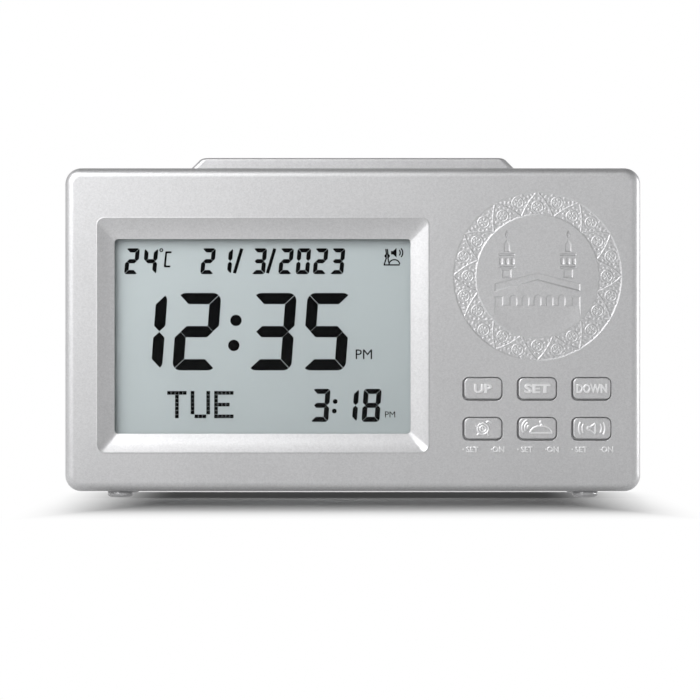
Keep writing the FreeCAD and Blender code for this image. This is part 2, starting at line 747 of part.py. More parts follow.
def display():
    """Window, frame, liquid crystal glass, light guide and the two contact strips to the main board."""
    lens = (f"{WINDOW_WIDTH} + 2 * lens_margin", f"{WINDOW_HEIGHT} + 2 * lens_margin")
    glass = (LCD_WIDTH, LCD_HEIGHT)
    plate("display_window", LENS, "lens_thickness", *lens)
    plate("lcd_glass", LCD, "lcd_thickness", *glass)

    frame_size = (f"{LCD_WIDTH} + 2 * frame_wall", f"{LCD_HEIGHT} + 2 * frame_wall")
    frame = plate("lcd_frame", LENS, f"{BOARD} - {LENS}", *frame_size)
    sight = at_depth(frame, "Sight", LENS)
    sight_size = (f"{WINDOW_WIDTH} + lens_margin", f"{WINDOW_HEIGHT} + lens_margin")
    rectangle(sight, WINDOW_ACROSS, WINDOW_UP, *sight_size)
    pocket(frame, sight, f"{LCD} - {LENS}")
    for name, (width, height), top, foot in (
        ("LensSeat", lens, LENS, f"{LENS} + lens_thickness"),
        ("GlassSeat", glass, LCD, BOARD),
    ):
        seat = at_depth(frame, name, top)
        rectangle(seat, WINDOW_ACROSS, WINDOW_UP, f"{width} + 2 * fit_gap", f"{height} + 2 * fit_gap")
        pocket(frame, seat, f"{foot} - {top}")

    guide_height = f"{LCD_HEIGHT} - 2 * strip_width - 4 * fit_gap"
    plate("light_guide", GLOW, "glow_thickness", f"{LCD_WIDTH} - 2 * fit_gap", guide_height)
    strips = new_body("contact_strips")
    sketch = at_depth(strips, "Strips", GLOW)
    for j in SIDES:
        up = f"{WINDOW_UP} + {j} * ({LCD_HEIGHT} - strip_width) / 2"
        rectangle(sketch, WINDOW_ACROSS, up, f"{LCD_WIDTH} - 2 * strip_end", "strip_width")
    pad(strips, sketch, f"{BOARD} - {GLOW}")


def boards():
    """Main board with its chips, crystal, capacitor and temperature bead, and the key board."""
    main = plate("main_board", BOARD, "board_thickness", BOARD_WIDTH, BOARD_HEIGHT)
    keys = new_body("key_board")
    outline = at_depth(keys, "Outline", KEY_BOARD)
    rectangle(outline, KEY_ACROSS, "key_up", KEY_BOARD_WIDTH, KEY_BOARD_HEIGHT)
    pad(keys, outline, "board_thickness")
    for board, places, depth in ((main, POSTS, BOARD), (keys, KEY_POSTS, KEY_BOARD)):
        holes = at_depth(board, "Holes", depth)
        for across, up in places:
            prism(holes, across, up, "screw_hole", SHANK_SIDES)
        pocket(board, holes, "board_thickness")

    for label, across, up, width, height in (
        ("controller_chip", "chip_across", "chip_up", "chip_side", "chip_side"),
        ("voice_chip", "memory_across", "memory_up", "memory_length", "memory_width"),
    ):
        chip = new_body(
            label, across=f"{WINDOW_ACROSS} + {across}", depth=BOARD_BACK, height=f"{WINDOW_UP} + {up}"
        )
        package = at_depth(chip, "Package", "chip_height / 8")
        rectangle(package, "0", "0", width, height)
        pad(chip, package, "chip_height * 7 / 8")
        legs = at_depth(chip, "Legs", "0")
        for k in range(-2, 3):
            rectangle(legs, f"{k} * ({width}) / 6", "0", f"({width}) / 18", f"{height} + chip_height * 1.5")
        pad(chip, legs, "chip_height / 4")

    crystal = new_body(
        "quartz_crystal",
        across=f"{WINDOW_ACROSS} + crystal_across",
        depth=f"{BOARD_BACK} + crystal_radius",
        height=f"{WINDOW_UP} + crystal_up",
    )
    can = sketch_on(crystal, "YZ_Plane", "Can", "-crystal_length / 2")
    prism(can, "0", "0", "crystal_radius", CAN_SIDES)
    pad(crystal, can, "crystal_length", back=False)

    capacitor = new_body("capacitor")
    can = at_depth(capacitor, "Can", BOARD_BACK)
    circle(can, f"{WINDOW_ACROSS} + {CAPACITOR_ACROSS}", f"{WINDOW_UP} + capacitor_up", "capacitor_radius")
    pad(capacitor, can, "capacitor_length")

    bead = new_body(
        "temperature_bead",
        across=f"{WINDOW_ACROSS} + {BEAD_ACROSS}",
        depth=BOARD_BACK,
        height=f"{WINDOW_UP} + {BEAD_UP}",
    )
    legs = at_depth(bead, "Legs", "0")
    for i in SIDES:
        rectangle(legs, f"{i} * bead_width / 4", "0", "bead_width / 6", "bead_width / 6")
    pad(bead, legs, "bead_lift")
    drop = at_depth(bead, "Bead", "bead_lift")
    prism(drop, "0", "0", "bead_width / 2", POST_SIDES)
    pad(bead, drop, "bead_width / 2")


def keys():
    """Six key caps behind the front face, the silicone mat that lifts them, and a carbon pill for each."""
    skirt = ("key_width + 2 * key_gap + 2 * flange_margin", "key_height + 2 * key_gap + 2 * flange_margin")
    for name, (across, up) in KEY_PLACES.items():
        cap = new_body(f"{name}_key", across=across, height=up)
        face = at_depth(cap, "Face", "-key_proud")
        clipped(face, "0", "0", "key_width", "key_height", "key_corner")
        pad(cap, face, f"key_proud + {FLANGE}")
        flange = at_depth(cap, "Flange", FLANGE)
        rectangle(flange, "0", "0", *skirt)
        pad(cap, flange, "flange_thickness")
        stem = at_depth(cap, "Stem", f"{FLANGE} + flange_thickness")
        rectangle(stem, "0", "0", "stem_width", "stem_width")
        pad(cap, stem, "stem_length - rest_gap")

    mat = new_body("keypad_mat")
    web_face = f"{KEY_BOARD} - mat_thickness"
    web = at_depth(mat, "Web", web_face)
    rectangle(web, KEY_ACROSS, "key_up", MAT_WIDTH, MAT_HEIGHT)
    pad(mat, web, "mat_thickness")
    hollows = at_depth(mat, "Hollows", f"{KEY_BOARD} - key_travel - pill_thickness")
    domes = at_depth(mat, "Domes", f"{KEY_BOARD} - dome_height")
    for across, up in KEY_PLACES.values():
        rectangle(domes, across, up, "dome_foot", "dome_foot")
        rectangle(hollows, across, up, "dome_foot - dome_skin * 3", "dome_foot - dome_skin * 3")
    blocks = pad(mat, domes, "dome_height - mat_thickness")
    crown = worth(f"{KEY_BOARD} - dome_height") + NEAR
    chamfer(mat, blocks, lambda box: box.YMax < crown, "(dome_foot - dome_top) / 2")
    pocket(mat, hollows, "key_travel + pill_thickness")

    for name, (across, up) in KEY_PLACES.items():
        pill = new_body(f"{name}_pill", across=across, height=up)
        face = at_depth(pill, "Face", f"{KEY_BOARD} - key_travel - pill_thickness")
        rectangle(face, "0", "0", "pill_width", "pill_width")
        pad(pill, face, "pill_thickness")


def snooze():
    """Snooze bar in the top, and the little board with two domes that it presses."""
    bar = new_body("snooze_bar")
    half = "bar_length / 2"
    slope = "(bar_rise - bar_reveal)"
    profile = at_depth(bar, "FrontView", f"{BAR_DEPTH} - bar_width / 2")
    polygon(
        profile,
        [
            (f"-{half}", BAR_UNDER),
            (half, BAR_UNDER),
            (half, "case_height + bar_reveal"),
            (f"{half} - {slope}", "case_height + bar_rise"),
            (f"{slope} - {half}", "case_height + bar_rise"),
            (f"-{half}", "case_height + bar_reveal"),
        ],
    )
    block = pad(bar, profile, "bar_width")
    shut = worth("case_height")
    fillet(bar, block, lambda box: box.ZMin > shut and box.YLength < NEAR, "bar_round")
    flange = sketch_on(bar, "XY_Plane", "Flange", BAR_UNDER)
    reach = "2 * (bar_gap + bar_flange)"
    rectangle(flange, "0", BAR_DEPTH, f"bar_length + {reach}", f"bar_width + {reach}")
    pad(bar, flange, "bar_flange", back=False)
    hollow = sketch_on(bar, "XY_Plane", "Hollow", BAR_UNDER)
    rectangle(hollow, "0", BAR_DEPTH, "bar_length - 2 * bar_rise - 2 * bar_wall", "bar_width - 2 * bar_wall")
    pocket(bar, hollow, f"case_height + bar_rise - bar_wall - {BAR_UNDER}", back=False)
    stem_foot = f"({SNOOZE_TOP} + snooze_dome_height + rest_gap)"
    stems = sketch_on(bar, "XY_Plane", "Stems", stem_foot)

    board = new_body("snooze_board")
    outline = sketch_on(board, "XY_Plane", "Outline", SHELF_TOP)
    rectangle(outline, "0", BAR_DEPTH, SNOOZE_BOARD_LENGTH, "snooze_board_width")
    pad(board, outline, "board_thickness", back=False)
    holes = sketch_on(board, "XY_Plane", "Holes", SHELF_TOP)

    domes = new_body("snooze_domes")
    feet = sketch_on(domes, "XY_Plane", "DomeFeet", SNOOZE_TOP)
    hollows = sketch_on(domes, "XY_Plane", "Hollows", SNOOZE_TOP)
    pills = new_body("snooze_pills")
    pill_faces = sketch_on(pills, "XY_Plane", "Faces", f"{SNOOZE_TOP} + bar_travel")
    for i in SIDES:
        across = f"{i} * {STEM_SPREAD} / 2"
        prism(holes, f"{i} * shelf_spread / 2", BAR_DEPTH, "screw_hole", SHANK_SIDES)
        rectangle(stems, across, BAR_DEPTH, "bar_stem_width", "bar_stem_width")
        rectangle(feet, across, BAR_DEPTH, "dome_foot", "dome_foot")
        rectangle(hollows, across, BAR_DEPTH, "dome_foot - dome_skin * 3", "dome_foot - dome_skin * 3")
        rectangle(pill_faces, across, BAR_DEPTH, "pill_width", "pill_width")
    pad(bar, stems, f"case_height + bar_rise - bar_wall / 2 - {stem_foot}", back=False)
    pocket(board, holes, "board_thickness", back=False)
    blocks = pad(domes, feet, "snooze_dome_height", back=False)
    crown = worth(f"{SNOOZE_TOP} + snooze_dome_height") - NEAR
    chamfer(domes, blocks, lambda box: box.ZMin > crown, "(dome_foot - dome_top) / 2")
    pocket(domes, hollows, "bar_travel + pill_thickness", back=False)
    pad(pills, pill_faces, "pill_thickness", back=False)


def speaker():
    """Flat speaker behind the rear grille: cup, ring magnet, yoke, voice coil and the film that it moves."""
    axis = (SPEAKER_ACROSS, SPEAKER_UP)
    bore = f"({COIL_OUTER} + coil_gap)"
    floor = f"({CUP_BACK} + plate_thickness)"
    inner = "(speaker_radius - basket_sheet)"
    turned(
        "speaker_basket",
        *axis,
        [
            ("speaker_radius", SPEAKER),
            ("speaker_radius", CUP_BACK),
            (bore, CUP_BACK),
            (bore, floor),
            (inner, floor),
            (inner, SPEAKER),
        ],
    )
    film = f"({SPEAKER} + film_sheet)"
    turned(
        "speaker_film",
        *axis,
        [
            ("0", SPEAKER),
            ("speaker_radius", SPEAKER),
            ("speaker_radius", film),
            ("film_dome_radius", film),
            ("film_dome_radius", f"{film} + film_dome"),
            ("0", f"{film} + film_dome"),
        ],
    )

    magnet = new_body("speaker_magnet")
    ring = at_depth(magnet, "Ring", YOKE)
    prism(ring, *axis, "magnet_radius", RING_SIDES)
    prism(ring, *axis, f"{COIL_OUTER} + plate_thickness", RING_SIDES)
    pad(magnet, ring, "magnet_thickness")

    yoke = new_body("speaker_yoke")
    back = at_depth(yoke, "BackPlate", f"{YOKE} - plate_thickness")
    prism(back, *axis, "magnet_radius - plate_thickness / 2", RING_SIDES)
    pad(yoke, back, "plate_thickness")
    pole = at_depth(yoke, "Pole", YOKE)
    prism(pole, *axis, POLE_RADIUS, RING_SIDES)
    pad(yoke, pole, f"{floor} - {YOKE}")

    coil = new_body("voice_coil")
    coil_end = f"({CUP_BACK} - coil_gap * 4)"
    tube = at_depth(coil, "Tube", coil_end)
    prism(tube, *axis, COIL_OUTER, RING_SIDES)
    prism(tube, *axis, "coil_inner", RING_SIDES)
    pad(coil, tube, f"{SPEAKER} - {coil_end}")


def battery():
    """Three AA cells, their contacts, the door with its two hooks, and the sprung latch."""
    near_end = "(contact_sheet + fit_gap)"
    for k in range(CELL_COUNT):
        toward = -1 if k % 2 else 1
        height = f"bay_up + cell_gap + {CELL_PITCH} * {k} + {CELL_PITCH} / 2"
        cell = new_body(
            f"battery_cell_{k + 1}",
            across=f"{BAY_ACROSS} + {toward} * ({BAY_LENGTH} / 2 - {near_end})",
            depth=f"{BAY_FLOOR} + fit_gap + cell_radius",
            height=height,
            turn=Rotation(Vector(0, 1, 0), 90 * toward),
        )
        can = sketch_on(cell, "XY_Plane", "Can", "-nub_length")
        circle(can, "0", "0", "cell_radius")
        pad(cell, can, "cell_length - nub_length")
        nub = sketch_on(cell, "XY_Plane", "Nub", "-nub_length")
        prism(nub, "0", "0", "nub_radius", CAN_SIDES)
        pad(cell, nub, "nub_length", back=False)

    contacts = new_body("battery_contacts", across=BAY_ACROSS, depth=BAY_FLOOR, height="bay_up + cell_gap")
    reach = f"({BAY_LENGTH} - cell_length - {near_end} - fit_gap)"
    for k in range(CELL_COUNT):
        toward = -1 if k % 2 else 1
        height = f"{CELL_PITCH} * {k} + {CELL_PITCH} / 2"
        flat = sketch_on(contacts, "XY_Plane", "Flat", f"{height} - contact_width / 2")
        wall_face = f"{toward} * {BAY_LENGTH} / 2"
        front, back = "cell_radius / 3", "cell_radius * 5 / 3"
        polygon(
            flat,
            [
                (wall_face, front),
                (f"{wall_face} - {toward} * contact_sheet", front),
                (f"{wall_face} - {toward} * contact_sheet", back),
                (wall_face, back),
            ],
        )
        pad(contacts, flat, "contact_width", back=False)
        leaf = sketch_on(contacts, "XY_Plane", "Leaf", f"{height} - contact_width / 3")
        root = f"{-toward} * {BAY_LENGTH} / 2"
        polygon(
            leaf,
            [
                (root, front),
                (f"{root} + {toward} * contact_sheet", front),
                (f"{root} + {toward} * {reach}", "cell_radius * 0.9"),
                (f"{root} + {toward} * {reach}", "cell_radius * 1.1"),
                (f"{root} + {toward} * contact_sheet", back),
                (root, back),
                (f"{root} + {toward} * ({reach} - contact_sheet)", "cell_radius * 1.1 - contact_sheet / 4"),
                (f"{root} + {toward} * ({reach} - contact_sheet)", "cell_radius * 0.9 + contact_sheet / 4"),
            ],
        )
        pad(contacts, leaf, "contact_width * 2 / 3", back=False)

    door = new_body("battery_door", across=BAY_ACROSS, height=DOOR_FOOT)
    outline = at_depth(door, "Outline", REAR_WALL)
    rounded(outline, "0", f"{DOOR_HEIGHT} / 2", f"{BAY_LENGTH} + 2 * door_ledge", DOOR_HEIGHT, "door_corner")
    pad(door, outline, "wall")
    notch = at_depth(door, "LatchNotch", REAR_WALL)
    depth_down = "(latch_drop - latch_sheet - door_gap * 2)"
    rectangle(notch, "0", f"{DOOR_HEIGHT} - {depth_down} / 2", "latch_width + 2 * door_gap", depth_down)
    pocket(door, notch, "wall")
    grips = at_depth(door, "Grips", "case_depth - wall / 4")
    for k in range(GRIP_COUNT):
        rise = f"{DOOR_HEIGHT} - latch_drop - grip_inset - {k} * grip_pitch"
        rectangle(grips, "0", rise, "latch_width", "grip_width")
    pocket(door, grips, "wall / 4")
    inner = f"({REAR_WALL} - tab_hook)"
    outer = f"({REAR_WALL} - door_gap * 1.5)"
    rim = "-door_gap"
    hook = [
        (REAR_WALL, f"{rim} + door_ledge"),
        (inner, f"{rim} + door_ledge"),
        (inner, f"{rim} - tab_hook"),
        (outer, f"{rim} - tab_hook"),
        (outer, f"{rim} + door_gap * 2"),
        (REAR_WALL, f"{rim} + door_gap * 2"),
    ]
    for i in SIDES:
        side = sketch_on(door, "YZ_Plane", "Hook", f"{i} * tab_spread / 2 - tab_width / 2")
        polygon(side, hook)
        pad(door, side, "tab_width", back=False)

    latch = new_body("door_latch", across=BAY_ACROSS, height=DOOR_TOP)
    side = sketch_on(latch, "YZ_Plane", "SideView", "-latch_width / 2")
    deep = f"({REAR_WALL} - latch_reach)"
    nose = f"({REAR_WALL} - bay_wall - fit_gap)"
    polygon(
        side,
        [
            ("case_depth", "-door_gap"),
            (nose, "-door_gap"),
            (nose, "latch_nose"),
            (f"{nose} - latch_sheet", "-door_gap"),
            (deep, "-door_gap"),
            (deep, "-latch_drop"),
            (REAR_WALL, "-latch_drop"),
            (REAR_WALL, "latch_sheet - latch_drop"),
            (f"{deep} + latch_sheet", "latch_sheet - latch_drop"),
            (f"{deep} + latch_sheet", "-door_gap - latch_sheet"),
            ("case_depth - latch_sheet", "-door_gap - latch_sheet"),
            ("case_depth - latch_sheet", "-latch_drop * 2 / 3"),
            ("case_depth", "-latch_drop * 2 / 3"),
        ],
    )
    pad(latch, side, "latch_width", back=False)


def screws():
    """Groups of like screws: the case, the boards and the speaker."""
    key_back = f"({KEY_BOARD} + board_thickness)"
    for label, places, seat, kind in (
        ("case_screws", CASE_SCREWS, SCREW_SEAT, "case_screw"),
        ("main_board_screws", POSTS, BOARD_BACK, "screw"),
        ("key_board_screws", KEY_POSTS, key_back, "screw"),
    ):
        group = new_body(label)
        shanks = at_depth(group, "Shanks", f"{seat} - {kind}_length")
        heads = at_depth(group, "Heads", seat)
        for across, up in places:
            prism(shanks, across, up, f"{kind}_thread", SHANK_SIDES)
            prism(heads, across, up, f"{kind}_head", POST_SIDES)
        pad(group, shanks, f"{kind}_length")
        pad(group, heads, f"{kind}_head_height")

    group = new_body("snooze_board_screws")
    shanks = sketch_on(group, "XY_Plane", "Shanks", f"{SNOOZE_TOP} - screw_length")
    heads = sketch_on(group, "XY_Plane", "Heads", SNOOZE_TOP)
    for i in SIDES:
        prism(shanks, f"{i} * shelf_spread / 2", BAR_DEPTH, "screw_thread", SHANK_SIDES)
        prism(heads, f"{i} * shelf_spread / 2", BAR_DEPTH, "screw_head", POST_SIDES)
    pad(group, shanks, "screw_length", back=False)
    pad(group, heads, "screw_head_height", back=False)

    group = new_body("speaker_screws")
    heads = at_depth(group, "Heads", f"{CUP_BACK} - speaker_screw_head_height")
    shanks = at_depth(group, "Shanks", CUP_BACK)
    for across, up in SPEAKER_SCREWS:
        prism(heads, across, up, "speaker_screw_head", POST_SIDES)
        prism(shanks, across, up, "speaker_screw_thread", SHANK_SIDES)
    pad(group, heads, "speaker_screw_head_height")
    pad(group, shanks, "speaker_screw_length")


def feet():
    """Four small feet stuck to the underside."""
    for name, side, depth in (
        ("front_left_foot", -1, "foot_front"),
        ("front_right_foot", 1, "foot_front"),
        ("rear_left_foot", -1, FOOT_REAR),
        ("rear_right_foot", 1, FOOT_REAR),
    ):
        foot = new_body(name, across=f"{side} * (case_width / 2 - foot_inset)", depth=depth)
        disc = sketch_on(foot, "XY_Plane", "Disc", "-foot_height")
        circle(disc, "0", "0", "foot_radius")
        pad(foot, disc, "foot_height", back=False)


def softened(points):
    """Straight runs through the points, joined by tangent arcs as wide as the runs allow."""
    edges = []
    start = points[0]
    for before, corner, after in zip(points, points[1:], points[2:]):
        run_in, run_out = (corner - before).Length, (after - corner).Length
        way_in, way_out = (corner - before).normalize(), (after - corner).normalize()
        half_turn = way_in.getAngle(way_out) / 2
        cut = BEND_SHARE * min(run_in, run_out)
        radius = cut / math.tan(half_turn)
        print(f"lead bend radius {radius:.1f} mm")
        first, last = corner - way_in * cut, corner + way_out * cut
        inward = (way_out - way_in).normalize()
        centre = corner + inward * (radius / math.cos(half_turn))
        top = centre - inward * radius
        edges.append(Part.LineSegment(start, first).toShape())
        edges.append(Part.Arc(first, top, last).toShape())
        start = last
    edges.append(Part.LineSegment(start, points[-1]).toShape())
    return Part.Wire(edges)


def spot(across, depth, height):
    """A point of the case frame."""
    return Vector(worth(across), worth(depth), worth(height))


def strap(label, points, wide, width, sheet):
    """A flat lead along softened runs; wide is the way across its flat side."""
    path = softened(points)
    along = (points[1] - points[0]).normalize()
    half, thin = wide * (worth(width) / 2), along.cross(wide) * (worth(sheet) / 2)
    corners = [points[0] + half * i + thin * j for i, j in ((-1, -1), (1, -1), (1, 1), (-1, 1))]
    item = doc.addObject("Part::Feature", label)
    item.Shape = path.makePipeShell([Part.makePolygon(corners + corners[:1])], True, False)
    swept = path.Length * worth(width) * worth(sheet)
    print(f"{label}: {item.Shape.Volume:.1f} mm3, and its section times its length is {swept:.1f} mm3")
    place(item)
    nodes.append(item)


def leads():
    """Flat leads inside the case: key board, speaker, battery contacts and snooze board to the main board."""
    level, crosswise = Vector(0, 0, 1), Vector(1, 0, 0)
    key_face = f"({KEY_BOARD} + board_thickness)"
    key_end = f"{KEY_ACROSS} - {KEY_BOARD_WIDTH} / 2 + ribbon_width / 2"
    board_end = f"{WINDOW_ACROSS} + {BOARD_WIDTH} / 2 - ribbon_width / 2"
    strap(
        "ribbon_cable",
        [
            spot(key_end, key_face, "key_up"),
            spot(key_end, f"{BOARD_BACK} + lead_rise", "key_up"),
            spot(board_end, f"{BOARD_BACK} + lead_rise", "key_up"),
            spot(board_end, BOARD_BACK, "key_up"),
        ],
        level,
        "ribbon_width",
        "ribbon_sheet",
    )
    speaker_end = f"{SPEAKER_ACROSS} - speaker_radius + lead_sheet"
    board_spot = f"{WINDOW_ACROSS} + {BOARD_WIDTH} / 2 - speaker_lead_inset"
    strap(
        "speaker_leads",
        [
            spot(board_spot, BOARD_BACK, SPEAKER_UP),
            spot(board_spot, f"{BOARD_BACK} + 2 * lead_rise", SPEAKER_UP),
            spot(speaker_end, f"{BOARD_BACK} + 3 * lead_rise", SPEAKER_UP),
            spot(speaker_end, CUP_BACK, SPEAKER_UP),
        ],
        level,
        "lead_width",
        "lead_sheet",
    )
    bay_face = f"{BAY_ACROSS} + {BAY_LENGTH} / 2 + bay_wall"
    bay_height = "bay_up + battery_lead_up"
    strap(
        "battery_leads",
        [
            spot(bay_face, f"{BAY_FLOOR} + lead_rise", bay_height),
            spot(f"{bay_face} + battery_lead_reach", f"{BAY_FLOOR} + lead_rise", bay_height),
            spot(f"{bay_face} + battery_lead_reach", BOARD_BACK, bay_height),
        ],
        level,
        "lead_width",
        "lead_sheet",
    )
    snooze_height = f"{WINDOW_UP} + {BOARD_HEIGHT} / 2 - snooze_lead_drop"
    strap(
        "snooze_leads",
        [
            spot("-lead_width", f"{BAR_DEPTH} - lead_width", SHELF_TOP),
            spot("-lead_width", f"{BAR_DEPTH} - lead_width", snooze_height),
            spot("-lead_width", BOARD_BACK, snooze_height),
        ],
        crosswise,
        "lead_width",
        "lead_sheet",
    )


front_case()
rear_case()
display()
boards()
keys()
snooze()
speaker()
battery()
screws()
feet()
leads()
doc.recompute()

for item in doc.Objects:
    if "Invalid" in item.State or "Error" in item.State:
        raise RuntimeError(f"{item.Name} failed: {item.State}")
for node in nodes:
    if node.Shape.isNull() or not node.Shape.isValid() or not node.Shape.Solids:
        raise RuntimeError(f"{node.Label} has no valid shape")

os.makedirs("parts", exist_ok=True)
for node in nodes:
    node.Shape.exportStep(f"parts/{node.Label}.step")
    box = node.Shape.BoundBox
    size = f"{box.XLength:.1f} x {box.YLength:.1f} x {box.ZLength:.1f} mm"
    print(f"{node.Label}: {len(node.Shape.Solids)} solid(s), {size}")
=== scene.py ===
"""Looks of a silver desk alarm clock with a display window, a round ornament and six keys.

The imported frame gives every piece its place. Lengths are millimetres until a mesh is made. Only the floor's
and the lamps' are metres.
"""

import math

import bmesh
import bpy
import numpy as np
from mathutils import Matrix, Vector


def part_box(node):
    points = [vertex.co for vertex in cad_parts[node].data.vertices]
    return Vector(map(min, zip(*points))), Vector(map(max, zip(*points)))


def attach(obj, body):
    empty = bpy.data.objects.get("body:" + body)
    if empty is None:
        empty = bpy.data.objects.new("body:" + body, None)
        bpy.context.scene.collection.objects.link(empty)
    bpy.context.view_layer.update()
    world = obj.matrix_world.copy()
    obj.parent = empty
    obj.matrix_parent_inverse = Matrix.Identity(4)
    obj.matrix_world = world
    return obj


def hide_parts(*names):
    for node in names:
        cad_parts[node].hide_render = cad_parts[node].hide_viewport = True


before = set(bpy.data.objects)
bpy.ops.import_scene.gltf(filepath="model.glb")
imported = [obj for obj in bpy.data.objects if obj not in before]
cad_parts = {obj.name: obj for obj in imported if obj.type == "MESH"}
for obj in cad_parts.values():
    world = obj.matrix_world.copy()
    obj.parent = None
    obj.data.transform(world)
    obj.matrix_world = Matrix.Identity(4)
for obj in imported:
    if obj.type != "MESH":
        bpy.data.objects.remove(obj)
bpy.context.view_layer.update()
MM = 0.001

# ---- Studio
# A pale floor runs back to a white horizon. A broad soft lamp at the front left lights the clock, with a weak
# one above it, a strip that draws the line down the right edge and a weak one behind. A fifth, behind the
# clock, lights the floor alone and lays the clock's shadow forwards on it.


class Wire:
    """One output of a node. A sign between wires, or a wire and a number, adds a Math node."""

    def __init__(self, tree, socket=None):
        self.tree = tree
        self.socket = socket

    def node(self, kind, settings=None, inputs=None, output=0):
        """Adds a node, sets it up, fills or links its inputs, and gives the wire of one output."""
        added = self.tree.nodes.new(kind)
        for name, value in (settings or {}).items():
            setattr(added, name, value)
        for name, value in (inputs or {}).items():
            if isinstance(value, Wire):
                self.tree.links.new(value.socket, added.inputs[name])
            else:
                added.inputs[name].default_value = value
        return Wire(self.tree, added.outputs[output] if len(added.outputs) else None)

    def math(self, operation, *values):
        """Adds a Math node of the given operation on wires or numbers."""
        return self.node("ShaderNodeMath", {"operation": operation}, dict(enumerate(values)))

    def __add__(self, other):
        return self.math("ADD", self, other)

    def __radd__(self, other):
        return self.math("ADD", other, self)

    def __sub__(self, other):
        return self.math("SUBTRACT", self, other)

    def __rsub__(self, other):
        return self.math("SUBTRACT", other, self)

    def __mul__(self, other):
        return self.math("MULTIPLY", self, other)

    def __rmul__(self, other):
        return self.math("MULTIPLY", other, self)

    def step(self, low, high):
        """Rises smoothly from 0 at low to 1 at high."""
        return self.node(
            "ShaderNodeMapRange",
            {"interpolation_type": "SMOOTHSTEP"},
            {"Value": self, "From Min": low, "From Max": high},
        )

    def part(self, axis):
        """One coordinate of a vector: X, Y or Z."""
        return self.node("ShaderNodeSeparateXYZ", {}, {0: self}, axis)

    def vector(self, operation, other):
        """Adds a Vector Math node of the given operation on this vector and another."""
        return self.node("ShaderNodeVectorMath", {"operation": operation}, {0: self, 1: other})

    def mix(self, first, second):
        """A colour between two, by this wire as the factor."""
        return self.node("ShaderNodeMix", {"data_type": "RGBA"}, {0: self, 6: first, 7: second}, 2)


def rays(tree):
    """1 for rays from the camera, off a gloss or through glass, each as a wire, and 0 for the others."""
    path = tree.node("ShaderNodeLightPath").socket.node
    return [Wire(tree.tree, path.outputs[f"Is {kind} Ray"]) for kind in ("Camera", "Glossy", "Transmission")]


def box(node):
    """The lowest and the highest corner of a CAD node, in millimetres."""
    return [np.array(corner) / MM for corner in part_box(node)]


case_low, case_high = box("front_case")
FACE = case_low[1]
BASE = case_low[2]
TOP = case_high[2]
CASE_WIDTH = case_high[0] - case_low[0]
CASE_HEIGHT = TOP - BASE

VIEW_WIDTH = 225.9
VIEW_DISTANCE = 1050.0
VIEW_ACROSS = -0.9
VIEW_UP = 45.7

camera = bpy.data.objects.new("camera", bpy.data.cameras.new("camera"))
bpy.context.collection.objects.link(camera)
bpy.context.scene.camera = camera
camera.data.lens = camera.data.sensor_width * VIEW_DISTANCE / VIEW_WIDTH
camera.data.clip_start, camera.data.clip_end = 0.01, 20
camera.location = Vector((VIEW_ACROSS, FACE - VIEW_DISTANCE, BASE + VIEW_UP)) * MM
camera.rotation_euler = (math.pi / 2, 0, 0)

# Near the clock the floor is paper that takes a shadow, and under the clock the paper is painted darker:
# a painted contact shade. Past the second figure of SHADE_ACROSS and SHADE_ALONG, in metres from the middle,
# it is white to the eye. In a gloss it is MIRRORED_NEAR of white under the clock, a painted shade in its
# reflection, and MIRRORED_FAR more in front of it.
PAPER = (0.50, 0.50, 0.50, 1)
PAPER_SPECK = (0.48, 0.48, 0.48, 1)
PAPER_PAINTED_SHADE = (0.36, 0.36, 0.36, 1)
PAPER_GRAIN = 220.0
FLOOR_REACH = 9.0
SHADE_MIDDLE = 0.002
SHADE_ACROSS = (0.060, 0.101)
SHADE_ALONG = (0.055, 0.165)
PAINTED_SHADE_ALONG = (0.020, 0.029)
MIRRORED_NEAR, MIRRORED_FAR = 0.46, 0.42

paper = bpy.data.materials.new("paper")
paper.use_nodes = True
paper.node_tree.nodes.clear()
tree = Wire(paper.node_tree)
place = tree.node("ShaderNodeTexCoord", output="Object")
aside = tree.math("ABSOLUTE", place.part("X") - SHADE_MIDDLE)
along = tree.math("ABSOLUTE", place.part("Y"))
beyond = tree.math("MAXIMUM", aside.step(*SHADE_ACROSS), along.step(*SHADE_ALONG))
speck = tree.node("ShaderNodeTexNoise", {}, {"Vector": place, "Scale": PAPER_GRAIN}, "Fac")
# Painted shade: the paper is darker under the clock, and its image in a gloss is darker there too.
clear_of_painted_shade = along.step(*PAINTED_SHADE_ALONG)
colour = clear_of_painted_shade.mix(PAPER_PAINTED_SHADE, speck.mix(PAPER_SPECK, PAPER))
shaded = tree.node("ShaderNodeBsdfDiffuse", {}, {"Color": colour})
white = tree.node("ShaderNodeEmission", {}, {"Color": (1, 1, 1, 1), "Strength": 1.0})
eye, gloss, through = rays(tree)
far = tree.math("MAXIMUM", beyond, gloss * (clear_of_painted_shade * MIRRORED_FAR + MIRRORED_NEAR))
seen = tree.node("ShaderNodeMixShader", {}, {0: far, 1: shaded, 2: white})
any_ray = tree.math("MAXIMUM", eye, tree.math("MAXIMUM", gloss, through))
whole = tree.node("ShaderNodeMixShader", {}, {0: any_ray, 1: shaded, 2: seen})
tree.node("ShaderNodeOutputMaterial", {}, {"Surface": whole})

floor_mesh = bpy.data.meshes.new("floor")
corners = [(i * FLOOR_REACH, j * FLOOR_REACH, 0) for i, j in ((-1, -1), (1, -1), (1, 1), (-1, 1))]
floor_mesh.from_pydata(corners, [], [(0, 1, 2, 3)])
floor = bpy.data.objects.new("floor", floor_mesh)
bpy.context.collection.objects.link(floor)
floor_mesh.materials.append(paper)

# The room is white to the eye. In a gloss it is grey and dark overhead, and the soft light that it gives is
# dim.
ROOM_LEVEL = (0.45, 0.45, 0.45, 1)
ROOM_ABOVE = (0.05, 0.05, 0.05, 1)
ROOM_RIGHT = (0.50, 0.50, 0.50, 1)
ROOM_SHADE = (0.12, 0.12, 0.12, 1)
ROOM_ASIDE = (0.1, 0.6)
ROOM_RISE = (0.35, 0.95)

